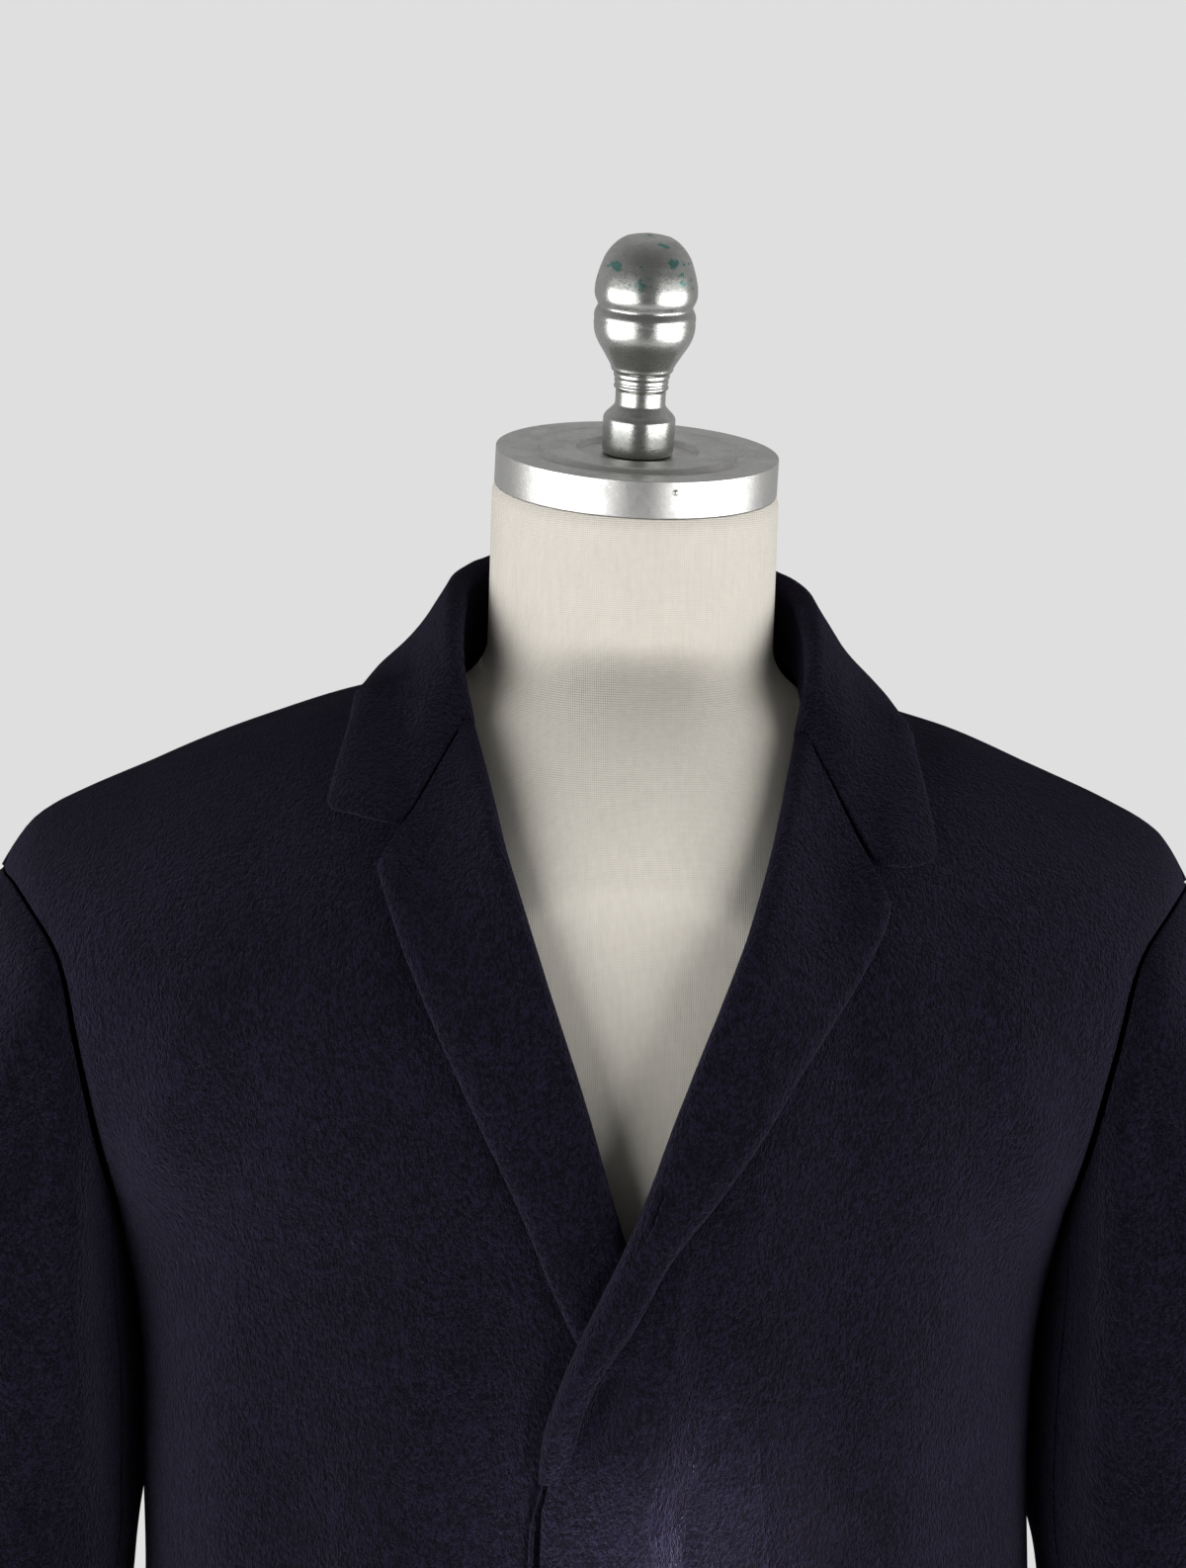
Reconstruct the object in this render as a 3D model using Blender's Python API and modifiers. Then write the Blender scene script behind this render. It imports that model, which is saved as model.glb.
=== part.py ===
"""A single-breasted wool overcoat, hanging on a limbless tailor's form with a round stand.

Metres, +Z up. The front faces -Y, the wearer's left is +X, and the origin is on the floor at the
centre of the stand's base. Every panel of the coat is an open grid on one body surface, given its
thickness by a Solidify modifier. The body surface is an oval section at each height, closed over
the shoulders by a round ridge, so its height, width and depth come from three short tables.
"""

import math

import bmesh
import bpy
import numpy as np
from mathutils import Matrix

# Cloth
WALL = 0.0025  # coating of a front, back or sleeve
TURNED = 0.0026  # collar and lapel, with their facing
SEAM = 0.0003  # two pieces at a seam
LEAF_GAP = 0.0014  # between a panel and the lapel or collar that lies on it
FOLD_RADIUS = WALL / 2 + LEAF_GAP + TURNED  # outer radius of a lapel's or the collar's turned edge
FLANGE = 0.009  # how far a lapel's cloth runs on behind the front
GORGE_RISE = 0.0009  # how much further a lapel stands off the front at its top
LEAF_BELLY = 0.0020  # how far the collar's leaf rounds out over the shoulder

# Coat
HEM_Z = 0.45
UNDERARM_Z = 1.193
SECTION_POWER = 2.15  # 2 is an ellipse, more is boxier
FRONT_OVERLAP = 0.040  # each front crosses the centre line by this much
BREAK_Z = 1.150  # where the lapels start to turn out
FLY_PROUD = 0.004  # the fly's under-layer shows this far past the left front's edge
FLY_WIDTH = 0.034
FLY_TOP_Z = 1.128
SLIP = 0.012  # the coat has slipped this far to the wearer's right at the shoulders

# Form and stand
NECK_RADIUS = 0.0657
NECK_TOP_Z = 1.5508
NECK_TILT = math.radians(6.5)  # the cap slopes down to the front
NECK_LEAN = math.radians(0.9)  # and a little to the wearer's left
CAP_RADIUS = 0.0649
CAP_THICK = 0.0172
FORM_BOTTOM_Z = 0.80
POLE_RADIUS = 0.014
BASE_RADIUS = 0.19
BASE_EDGE = 0.012

# The coat's sections: half width at the sides, and depth in front of and behind the middle plane.
# Above the underarm the width is that of the oval on which the armhole's edge lies.
BODY = {
    "columns": ("z", "width", "front", "back"),
    "rows": (
        (0.45, 0.240, 0.170, 0.166),
        (0.70, 0.2225, 0.158, 0.153),
        (0.95, 0.2085, 0.147, 0.142),
        (1.10, 0.2070, 0.146, 0.141),
        (1.193, 0.2140, 0.148, 0.143),
        (1.221, 0.2257, 0.148, 0.1435),
        (1.256, 0.2503, 0.1475, 0.144),
        (1.299, 0.271, 0.146, 0.1435),
        (1.340, 0.290, 0.144, 0.142),
        (1.420, 0.305, 0.142, 0.140),
        (1.520, 0.310, 0.140, 0.138),
    ),
}

# The line along the top of the shoulder, and how far below it the cloth has rounded over.
SHOULDER = {
    "columns": ("x", "z", "round"),
    "rows": (
        (0.000, 1.514, 0.160),
        (0.012, 1.5135, 0.160),
        (0.030, 1.508, 0.160),
        (0.060, 1.4855, 0.160),
        (0.079, 1.470, 0.160),
        (0.117, 1.4573, 0.152),
        (0.158, 1.4432, 0.143),
        (0.2035, 1.4248, 0.134),
        (0.240, 1.4084, 0.128),
        (0.2516, 1.4022, 0.127),
        (0.2615, 1.3944, 0.125),
        (0.268, 1.3852, 0.125),
        (0.2745, 1.3737, 0.125),
        (0.281, 1.3600, 0.125),
    ),
}

# The armhole's edge, by the angle round the sleeve: 0 is the shoulder, 90 the front, 180 the
# underarm. The back follows the same widths and heights.
ARMHOLE = {
    "columns": ("angle", "x", "z"),
    "rows": (
        (0, 0.2745, 1.3737),
        (30, 0.2655, 1.3685),
        (60, 0.2455, 1.340),
        (90, 0.2355, 1.299),
        (120, 0.2262, 1.256),
        (150, 0.2185, 1.221),
        (180, 0.2140, 1.193),
    ),
}

# The sleeve below the underarm: how far it stands off the body's side, its half sizes across and
# fore and aft, and how far forward its middle is.
SLEEVE = {
    "columns": ("z", "clear", "across", "along", "forward"),
    "rows": (
        (0.770, 0.018, 0.046, 0.059, 0.036),
        (0.860, 0.017, 0.049, 0.062, 0.027),
        (0.950, 0.013, 0.053, 0.068, 0.015),
        (1.050, 0.0042, 0.0571, 0.0759, 0.005),
        (1.080, 0.0012, 0.0585, 0.0780, 0.002),
        (1.165, 0.0010, 0.060, 0.083, 0.000),
    ),
}
SLEEVE_STEPS = 24
SLEEVE_TUCK = 0.003  # how far the sleeve closes in behind the body's side
SLEEVE_UNDER = (150, 240)  # the angles between which the under sleeve lies
CROWN_ROWS = 7

# The roll line, up from the break to where the collar starts. x is across the centre line at first.
ROLL = {
    "columns": ("z", "x"),
    "rows": (
        (1.150, -0.0325),
        (1.184, -0.0190),
        (1.229, 0.0000),
        (1.288, 0.0190),
        (1.3256, 0.0320),
        (1.3694, 0.0475),
        (1.4045, 0.0595),
        (1.4380, 0.0690),
        (1.4535, 0.0733),
    ),
}

# The lapels' outer edges, up from the break to the tip. The left one lies on top.
LAPEL_EDGE = {
    "columns": ("z", "x"),
    "left": (
        (1.153, -0.0225),
        (1.165, -0.0150),
        (1.194, 0.0040),
        (1.2258, 0.0195),
        (1.2539, 0.0385),
        (1.2818, 0.0560),
        (1.3203, 0.0785),
        (1.3468, 0.0970),
        (1.3690, 0.1105),
        (1.3855, 0.1165),
    ),
    "right": (
        (1.153, -0.0225),
        (1.167, 0.0060),
        (1.184, 0.0210),
        (1.2036, 0.0310),
        (1.244, 0.0490),
        (1.283, 0.0690),
        (1.326, 0.0905),
        (1.3582, 0.1070),
        (1.3720, 0.1130),
        (1.3855, 0.1165),
    ),
}

# The front end of the collar's leaf: along the gorge seam, then the notch, out to the corner.
GORGE = {
    "columns": ("x", "z"),
    "rows": (
        (0.0733, 1.4535),
        (0.0897, 1.4277),
        (0.1060, 1.4020),
        (0.1200, 1.4015),
        (0.1325, 1.4030),
        (0.1360, 1.4100),
    ),
}

# The outer edge of the collar's leaf from that corner over the shoulder (side 0) to the centre back.
LEAF_EDGE = {
    "columns": ("x", "z", "side"),
    "rows": (
        (0.1360, 1.4100, -1),
        (0.1340, 1.4260, -1),
        (0.1285, 1.4440, -1),
        (0.1235, 1.4530, -1),
        (0.1180, 1.4614, 0),
        (0.1125, 1.4545, 1),
        (0.1040, 1.4520, 1),
        (0.0870, 1.4515, 1),
        (0.0480, 1.4570, 1),
        (0.0000, 1.4640, 1),
    ),
}

# The collar's crease, up from the gorge seam and round to the centre back.
CREASE = {
    "columns": ("x", "y", "z"),
    "rows": (
        (0.0775, -0.0480, 1.4785),
        (0.0775, -0.0180, 1.4985),
        (0.0735, 0.0220, 1.5095),
        (0.0485, 0.0625, 1.5180),
        (0.0000, 0.0820, 1.5220),
    ),
}

# The neck seam, where the fronts and backs end and the collar's stand begins.
NECK_SEAM = {
    "columns": ("x", "z", "side"),
    "rows": (
        (0.0803, 1.4510, -1),
        (0.0797, 1.4605, -1),
        (0.0790, 1.4700, 0),
        (0.0690, 1.4720, 1),
        (0.0400, 1.4805, 1),
        (0.0000, 1.4880, 1),
    ),
}

# How much higher the coat hangs than it would level, from the wearer's right to the left: rise in
# front and behind, and ridge along the top of the shoulders.
HANG = {
    "columns": ("x", "rise", "ridge"),
    "rows": (
        (-0.260, 0.000, -0.0035),
        (-0.200, 0.002, -0.0030),
        (-0.160, 0.0045, -0.0010),
        (-0.125, 0.006, 0.0018),
        (-0.060, 0.003, -0.0015),
        (0.000, 0.002, 0.0020),
        (0.060, -0.003, -0.0030),
        (0.125, -0.007, -0.0018),
        (0.160, -0.0045, 0.0010),
        (0.200, 0.0035, 0.0030),
        (0.260, 0.012, 0.0035),
    ),
}
RIDGE_REACH = (0.075, 0.010)  # how far below the top the ridge's own rise starts, and is whole

# The form's own half sizes below the shoulders.
FORM = {
    "columns": ("z", "width", "depth"),
    "rows": (
        (0.80, 0.160, 0.118),
        (0.90, 0.168, 0.122),
        (1.02, 0.150, 0.108),
        (1.15, 0.165, 0.119),
        (1.25, 0.180, 0.126),
        (1.36, 0.192, 0.126),
        (1.60, 0.196, 0.126),
    ),
}

# The turned knob on the neck cap: distance from the cap, and radius.
FINIAL = {
    "columns": ("z", "radius"),
    "rows": (
        (0.0000, 0.0152),
        (0.0030, 0.0160),
        (0.0089, 0.0165),
        (0.0136, 0.0160),
        (0.0165, 0.0150),
        (0.0193, 0.0126),
        (0.0222, 0.0111),
        (0.0260, 0.0114),
        (0.0289, 0.0122),
        (0.0336, 0.0134),
        (0.0394, 0.0141),
        (0.0432, 0.0165),
        (0.0479, 0.0195),
        (0.0527, 0.0221),
        (0.0584, 0.0236),
        (0.0635, 0.0231),
        (0.0689, 0.0219),
        (0.0765, 0.0237),
        (0.0813, 0.0230),
        (0.0861, 0.0218),
        (0.0908, 0.0198),
        (0.0956, 0.0165),
        (0.1003, 0.0105),
        (0.1025, 0.0050),
    ),
}

# Skirt folds: how many to a quarter of the section, and how deep at the hem.
SKIRT_FOLDS = 2
SKIRT_FOLD_DEPTH = 0.006
SKIRT_FOLD_TOP_Z = 1.0

COLOURS = {
    "wool": ((0.010, 0.009, 0.020, 1), 0.95, 0.0),
    "canvas": ((0.80, 0.76, 0.66, 1), 0.8, 0.0),
    "aluminium": ((0.62, 0.63, 0.63, 1), 0.3, 1.0),
    "patina_metal": ((0.42, 0.44, 0.40, 1), 0.4, 1.0),
    "stand_metal": ((0.35, 0.36, 0.36, 1), 0.45, 1.0),
}


def slopes_between(keys, values, monotone):
    """The slope of a smooth curve at each of its points."""
    steps = np.diff(keys)
    chords = np.diff(values) / steps
    slopes = np.empty(len(keys))
    slopes[0], slopes[-1] = chords[0], chords[-1]
    before, after = steps[:-1], steps[1:]
    slopes[1:-1] = (chords[:-1] * after + chords[1:] * before) / (before + after)
    if monotone:
        turning = chords[:-1] * chords[1:] <= 0
        slopes[1:-1][turning] = 0
        most = 3 * np.minimum(np.abs(chords[:-1]), np.abs(chords[1:]))
        slopes[1:-1] = np.clip(slopes[1:-1], -most, most)
    return slopes


def smooth(keys, values, at, monotone=True):
    """A cubic curve through (keys, values), read at the given places."""
    keys, values = np.asarray(keys, float), np.asarray(values, float)
    at = np.clip(np.asarray(at, float), keys[0], keys[-1])
    slopes = slopes_between(keys, values, monotone)
    i = np.clip(np.searchsorted(keys, at, side="right") - 1, 0, len(keys) - 2)
    step = keys[i + 1] - keys[i]
    t = (at - keys[i]) / step
    return (
        values[i] * (1 + 2 * t) * (1 - t) ** 2
        + slopes[i] * step * t * (1 - t) ** 2
        + values[i + 1] * t * t * (3 - 2 * t)
        + slopes[i + 1] * step * t * t * (t - 1)
    )


def read(table, column, at, rows="rows"):
    """One named column of a table, at a value of its first column."""
    data = np.array(table[rows])
    return smooth(data[:, 0], data[:, table["columns"].index(column)], at)


def curve(points, at):
    """A curve through the points, by the share of its length from 0 to 1."""
    points = np.asarray(points, float)
    keys = np.concatenate([[0], np.cumsum(np.linalg.norm(np.diff(points, axis=0), axis=1))])
    keys /= keys[-1]
    return np.stack([smooth(keys, column, at, False) for column in points.T], axis=-1)


def broken_line(points, at):
    """Straight stretches through the points, by the share of their length from 0 to 1."""
    points = np.asarray(points, float)
    keys = np.concatenate([[0], np.cumsum(np.linalg.norm(np.diff(points, axis=0), axis=1))])
    return np.stack([np.interp(at, keys / keys[-1], column) for column in points.T], axis=-1)


def ease(value, start, end):
    """0 before start, 1 after end, and smooth between them."""
    t = np.clip((np.asarray(value, float) - start) / (end - start), 0, 1)
    return t * t * (3 - 2 * t)


def unit(vectors):
    return vectors / np.linalg.norm(vectors, axis=-1, keepdims=True)


def depth(x, z, side):
    """How far the coat's outer surface is from the middle plane. side is -1 in front, 1 behind."""
    across = np.clip(np.abs(x) / read(BODY, "width", z), 0, 1)
    oval = (1 - across**SECTION_POWER) ** (1 / SECTION_POWER)
    below = read(SHOULDER, "z", np.abs(x)) - z
    share = np.clip(below / read(SHOULDER, "round", np.abs(x)), 0, 1)
    full = read(BODY, "front" if side < 0 else "back", z)
    return full * oval * np.sqrt(share * (2 - share))


def surface(x, z, side, lift=0.0):
    """A point of the body surface, moved out by lift along its normal."""
    x, z = np.broadcast_arrays(np.asarray(x, float), np.asarray(z, float))
    small = 0.0005
    across = (depth(x + small, z, side) - depth(x - small, z, side)) / (2 * small)
    up = (depth(x, z + small, side) - depth(x, z - small, side)) / (2 * small)
    out = unit(np.stack([-across, np.full_like(x, side), -up], axis=-1))
    return np.stack([x, side * depth(x, z, side), z], axis=-1) + out * np.asarray(lift)[..., None]


def round_angle(x, z):
    """The angle round the section at which the surface has this x."""
    across = np.clip(np.abs(x) / read(BODY, "width", z), 0, 1)
    return np.sign(x) * np.arcsin(across ** (SECTION_POWER / 2))


def round_point(angle, z, side):
    """The surface point at an angle round the section, with the skirt's folds."""
    x = read(BODY, "width", z) * np.abs(np.sin(angle)) ** (2 / SECTION_POWER) * np.sign(angle)
    below = read(SHOULDER, "z", np.abs(x)) - z
    share = np.clip(below / read(SHOULDER, "round", np.abs(x)), 0, 1)
    full = read(BODY, "front" if side < 0 else "back", z)
    oval = np.clip(np.cos(angle), 0, 1) ** (2 / SECTION_POWER)
    y = side * full * oval * np.sqrt(share * (2 - share))
    fall = ease(-z, -SKIRT_FOLD_TOP_Z, -HEM_Z)
    fold = 1 + SKIRT_FOLD_DEPTH / 0.4 * fall * np.cos(4 * SKIRT_FOLDS * angle)
    return np.stack([x * fold, y * fold, z], axis=-1)


def hang(x, z):
    """How much higher the coat hangs here than it would level."""
    top = z - read(SHOULDER, "z", np.abs(x))
    near = ease(top, -RIDGE_REACH[0], -RIDGE_REACH[1])
    rise = read(HANG, "rise", x) * (1 - near) + read(HANG, "ridge", x) * near
    return rise * ease(z, 1.0, 1.25)


def slipped(points):
    """The points where the coat hangs after it has slipped a little to the wearer's right."""
    points = np.array(points)
    outer = ease(np.abs(points[..., 0]), 0.10, 0.20)
    high = 0.45 + 0.25 * ease(points[..., 2], 1.03, 1.11) + 0.3 * ease(points[..., 2], 1.10, 1.30)
    points[..., 2] += hang(points[..., 0], points[..., 2])
    points[..., 0] -= SLIP * outer * high
    return points


def left_lift(x, z):
    """How far the left front lies above the right one, which fades out towards its side."""
    lift = 0.0068 + 0.0042 * ease(z, 1.08, 1.14)
    return lift * (1 - ease(x, 0.045, 0.105)) * (1 - ease(z, 1.33, 1.42))


def patch(left, right, bottom, top, weights):
    """A grid between four edges. weights is each row's height share."""
    u = np.linspace(0, 1, len(bottom))[None, :, None]
    w = weights[:, None, None]
    corners = (
        (1 - w) * ((1 - u) * bottom[0] + u * bottom[-1])
        + w * ((1 - u) * top[0] + u * top[-1])
    )
    sides = (1 - u) * left[:, None] + u * right[:, None]
    return sides + (1 - w) * bottom[None] + w * top[None] - corners


def material(name):
    found = bpy.data.materials.get(name)
    if found:
        return found
    colour, roughness, metallic = COLOURS[name]
    made = bpy.data.materials.new(name)
    made.use_nodes = True
    made.diffuse_color = colour
    shader = made.node_tree.nodes["Principled BSDF"]
    shader.inputs["Base Color"].default_value = colour
    shader.inputs["Roughness"].default_value = roughness
    shader.inputs["Metallic"].default_value = metallic
    return made


def add_object(name, mesh, slot, smooth_angle=35):
    mesh.materials.append(material(slot))
    mesh.shade_smooth()
    mesh.set_sharp_from_angle(angle=math.radians(smooth_angle))
    made = bpy.data.objects.new(name, mesh)
    bpy.data.collections["wool_overcoat"].objects.link(made)
    return made


def cloth(name, grid, facing, at=(0.5, 0.5), wall=WALL):
    """A panel: an open grid of points with a Solidify wall behind its outer side.

    facing is roughly the way that the outer side looks at the given place in the grid."""
    rows, columns = grid.shape[:2]
    i, j = int(at[0] * (rows - 1)), int(at[1] * (columns - 1))
    i, j = min(i, rows - 2), min(j, columns - 2)
    looks = np.cross(grid[i, j + 1] - grid[i, j], grid[i + 1, j] - grid[i, j])
    if looks @ np.asarray(facing, float) < 0:
        grid = grid[:, ::-1]
    mesh = bpy.data.meshes.new(name)
    work = bmesh.new()
    points = [[work.verts.new(point) for point in row] for row in grid]
    for low, high in zip(points, points[1:]):
        for a, b, c, d in zip(low, low[1:], high[1:], high):
            work.faces.new((a, b, c, d))
    work.to_mesh(mesh)
    work.free()
    made = add_object(name, mesh, "wool")
    shell = made.modifiers.new("wall", "SOLIDIFY")
    shell.thickness = wall
    shell.offset = -1
    shell.use_even_offset = True
    return made


def turned(name, profile, steps, slot, place=Matrix()):
    """A solid of revolution from (radius, z) points, which run from top to bottom."""
    mesh = bpy.data.meshes.new(name)
    work = bmesh.new()
    points = [work.verts.new((radius, 0, z)) for radius, z in profile]
    for a, b in zip(points, points[1:]):
        work.edges.new((a, b))
    work.to_mesh(mesh)
    work.free()
    made = add_object(name, mesh, slot)
    screw = made.modifiers.new("turn", "SCREW")
    screw.steps = steps
    screw.render_steps = steps
    screw.use_merge_vertices = True
    screw.merge_threshold = 0.00005
    screw.use_smooth_shade = True
    made.matrix_world = place
    return made


def rows_of_z(low, high, count, power=1.0):
    """Heights from low to high, closer together near the top where power is over 1."""
    t = np.linspace(0, 1, count)
    return low + (high - low) * (1 - (1 - t) ** power)


def side_edge(count_low, count_high):
    """(angle, z) up a panel's side seam and on round the armhole to the shoulder."""
    low = rows_of_z(HEM_Z, UNDERARM_Z, count_low, LOW_POWER)
    seam = np.stack([np.full(count_low, math.pi / 2), low], axis=-1)
    turn = np.linspace(180, 0, count_high)
    x, z = read(ARMHOLE, "x", turn), read(ARMHOLE, "z", turn)
    hole = np.stack([round_angle(x, z), z], axis=-1)
    hole[0, 0] = math.pi / 2
    return np.concatenate([seam, hole[1:]])


def roll_points(count, inset=0.0):
    """(x, z) up the roll line, moved across towards the lapel by inset."""
    z = np.linspace(BREAK_Z, ROLL["rows"][-1][0], count)
    x = read(ROLL, "x", z)
    along = unit(np.stack([np.gradient(x), np.gradient(z)], axis=-1))
    return np.stack([x + inset * along[:, 1], z - inset * along[:, 0]], axis=-1)


def panel_grid(left, right, top_x, top_z, side, lift=None):
    """A body panel between its (x, z) inner edge and its (angle, z) outer one."""
    inner = np.stack([round_angle(left[:, 0], left[:, 1]), left[:, 1]], axis=-1)
    columns = len(top_x)
    top = np.stack([round_angle(top_x, top_z), top_z], axis=-1)
    top[0], top[-1] = inner[-1], right[-1]
    share = np.linspace(0, 1, columns)[:, None]
    bottom = (1 - share) * inner[0] + share * right[0]
    weights = (inner[:, 1] - HEM_Z) / (inner[-1, 1] - HEM_Z)
    flat = patch(inner, right, bottom, top, weights)
    points = round_point(flat[..., 0], flat[..., 1], side)
    if lift is not None:
        x, z = points[..., 0], points[..., 2]
        raised = surface(x, z, side, lift(x, z)) - surface(x, z, side)
        points = points + np.where(lift(x, z)[..., None] > 1e-6, raised, 0)
    return points


def drawn_back(grid, edges, wall=WALL, more=0.0):
    """The grid with the named edges moved in along it, which leaves the seams open.

    Where the cloth goes on turning past the seam, the walls' inner sides come nearer to each other
    than their outer ones, so such an edge moves in further."""
    grid = grid.copy()
    for edge in edges:
        view = {
            "low": grid,
            "high": grid[::-1],
            "left": grid.swapaxes(0, 1),
            "right": grid.swapaxes(0, 1)[::-1],
        }[edge]
        first, second = unit(view[1] - view[0]), unit(view[2] - view[1])
        half_turn = np.linalg.norm(first - second, axis=-1, keepdims=True) / 2
        view[0] += first * (0.6 * SEAM + more + 1.25 * wall * half_turn)
    return grid


LOW_ROWS, HIGH_ROWS = 10, 14
LOW_POWER = 1.4  # rows come closer together towards the underarm
TOP_POWER = 1.7  # rows come closer together towards the shoulder


def front_inner_edge():
    """(x, z) up a front's edge, along behind the roll line and up the neck seam."""
    edge = [(-FRONT_OVERLAP, z) for z in rows_of_z(HEM_Z, 1.085, LOW_ROWS - 2, LOW_POWER)]
    edge.append((-FRONT_OVERLAP + 0.002, 1.125))
    roll = roll_points(9, FOLD_RADIUS + 0.0020)
    roll[-1] = NECK_SEAM["rows"][0][:2]
    neck = [row[:2] for row in NECK_SEAM["rows"][1:3]]
    lower = np.array(edge + roll[:1].tolist())
    upper = np.concatenate([roll[1:], neck])
    share = 1 - (1 - np.linspace(0, 1, HIGH_ROWS)) ** TOP_POWER
    return np.concatenate([lower, curve(np.concatenate([lower[-1:], upper]), share)[1:]])


def shoulder_edge(start_x, count):
    x = np.linspace(start_x, ARMHOLE["rows"][0][1], count)
    return x, read(SHOULDER, "z", x)


def make_front(name, mirror, lift=None):
    inner = front_inner_edge()
    right = side_edge(LOW_ROWS, HIGH_ROWS)
    grid = panel_grid(inner, right, *shoulder_edge(NECK_SEAM["rows"][2][0], 13), -1, lift)
    grid = drawn_back(grid, ("right", "high"))
    return cloth(name, slipped(mirrored(grid, mirror)), (0, -1, 0), (0.3, 0.3))


def mirrored(grid, mirror):
    return grid * np.array([-1, 1, 1]) if mirror else grid


def back_top(count):
    """(x, z) along the neck seam from the centre back, and on down the shoulder."""
    neck = np.array([row[:2] for row in NECK_SEAM["rows"] if row[2] >= 0])[::-1]
    neck_count = count // 3
    neck = curve(neck, np.linspace(0, 1, neck_count + 1))[:-1]
    x, z = shoulder_edge(NECK_SEAM["rows"][2][0], count - neck_count)
    return np.concatenate([neck[:, 0], x]), np.concatenate([neck[:, 1], z])


def make_back(name, mirror):
    right = side_edge(LOW_ROWS, HIGH_ROWS)
    top_x, top_z = back_top(14)
    low = rows_of_z(HEM_Z, UNDERARM_Z, LOW_ROWS, LOW_POWER)
    high = rows_of_z(UNDERARM_Z, top_z[0], HIGH_ROWS, TOP_POWER)[1:]
    z = np.concatenate([low, high])
    inner = np.stack([np.full_like(z, 1e-5), z], axis=-1)
    grid = panel_grid(inner, right, top_x, top_z, 1)
    grid = drawn_back(grid, ("left", "right", "high"))
    return cloth(name, slipped(mirrored(grid, mirror)), (0, 1, 0), (0.3, 0.3))


def sleeve_rings():
    """The left sleeve's outer surface: a ring of points for each row, down from the armhole."""
    angle = np.arange(SLEEVE_STEPS + 1) * 360 / SLEEVE_STEPS
    half = np.where(angle > 180, 360 - angle, angle)
    side = np.where(angle > 180, 1, -1)
    x, z = read(ARMHOLE, "x", half), read(ARMHOLE, "z", half)
    y = np.where(side < 0, -depth(x, z, -1), depth(x, z, 1))
    y[half == 180] = 0
    armhole = np.stack([x, y, z], axis=-1)
    top_z = SLEEVE["rows"][-1][0]
    first = sleeve_ring(top_z, angle)
    turn = np.radians(angle)
    top = 0.6 * np.clip(np.cos(turn), 0, 1) ** 4
    outward = np.stack(
        [0.62 + 0.38 * np.cos(turn), -0.42 * np.sin(turn), -0.45 - 0.45 * np.cos(turn) - top],
        axis=-1,
    )
    under = ((1 - np.cos(turn)) / 2)[:, None] ** 3
    outward = unit(unit(outward) * (1 - under) + np.array([0.15, 0, -1.0]) * under)
    start_reach = (0.008 + 0.037 * (np.cos(turn) * 0.5 + 0.5) ** 0.8)[:, None]
    end_reach = (0.006 + 0.104 * (np.cos(turn) * 0.5 + 0.5))[:, None]
    begin = armhole + outward * 2 * SEAM
    leave = begin + outward * start_reach
    arrive = first + np.array([0, 0, 1]) * end_reach
    rings = []
    for t in np.linspace(0, 1, CROWN_ROWS + 1) ** 1.1:
        rings.append(
            begin * (1 - t) ** 3
            + leave * 3 * t * (1 - t) ** 2
            + arrive * 3 * t * t * (1 - t)
            + first * t**3
        )
    cuff = SLEEVE["rows"][0][0]
    rings += [sleeve_ring(z, angle) for z in np.linspace(top_z, cuff, 7)[1:]]
    return np.array(rings)


def sleeve_ring(z, angle):
    turn = np.radians(angle)
    across, along = read(SLEEVE, "across", z), read(SLEEVE, "along", z)
    middle = read(BODY, "width", z) + read(SLEEVE, "clear", z) + across
    tucked = SLEEVE_TUCK * ease(angle, 180, 196) * (1 - ease(angle, 205, 240)) * ease(z, 1.055, 1.080)
    return np.stack(
        [
            middle + across * np.cos(turn) - tucked,
            -read(SLEEVE, "forward", z) - along * np.sin(turn),
            np.full_like(turn, z),
        ],
        axis=-1,
    )


def make_sleeve(side_name, mirror):
    rings = sleeve_rings()
    step = 360 / SLEEVE_STEPS
    start, end = (int(a / step) for a in SLEEVE_UNDER)
    under = rings[:, start : end + 1]
    top = np.concatenate([rings[:, end:-1], rings[:, : start + 1]], axis=1)
    out = -1 if mirror else 1
    for part, grid, facing in (("top", top, (out, 0, 0)), ("under", under, (-out, 0, 0))):
        grid = drawn_back(grid, ("left", "right"), WALL, SEAM)
        grid = slipped(mirrored(grid, mirror))
        cloth(f"sleeve_{side_name}_{part}", grid, facing, (0.8, 0.5))


def fold_frame(crease, across, out):
    """The middle of a turned edge's arc, from its outermost line and two directions."""
    return crease + across * FOLD_RADIUS, unit(across), unit(out)


def fold_arc(middle, across, out, steps):
    """Points round the turned edge, from the side that lies behind to the one that shows."""
    turns = np.linspace(math.pi, 0, steps)[None, :, None]
    return middle[:, None] + FOLD_RADIUS * (
        np.cos(turns) * out[:, None] - np.sin(turns) * across[:, None]
    )


LAPEL_ROWS, LAPEL_COLUMNS, ARC_STEPS = 15, 5, 5


def lapel_edges(side_name):
    """(x, z) up the roll line, and up the lapel's outer edge."""
    edge_rows = np.array(LAPEL_EDGE[side_name])[:, ::-1]
    return roll_points(LAPEL_ROWS), curve(edge_rows, np.linspace(0, 1, LAPEL_ROWS))


def lapel_fold(side_name, lift):
    """The crease up a lapel, with the ways across to its leaf and out from the body."""
    roll, edge = lapel_edges(side_name)
    base = lift(roll[:, 0], roll[:, 1])
    half = WALL / 2
    crease = surface(roll[:, 0], roll[:, 1], -1, base - half)
    above = surface(roll[:, 0], roll[:, 1], -1, base + half)
    out = unit(above - crease)
    beside = roll + unit(edge - roll) * 0.004
    across = unit(surface(beside[:, 0], beside[:, 1], -1, base - half) - crease)
    along = unit(np.gradient(crease, axis=0))
    return crease, unit(across - along * (across * along).sum(-1, keepdims=True)), out


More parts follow.
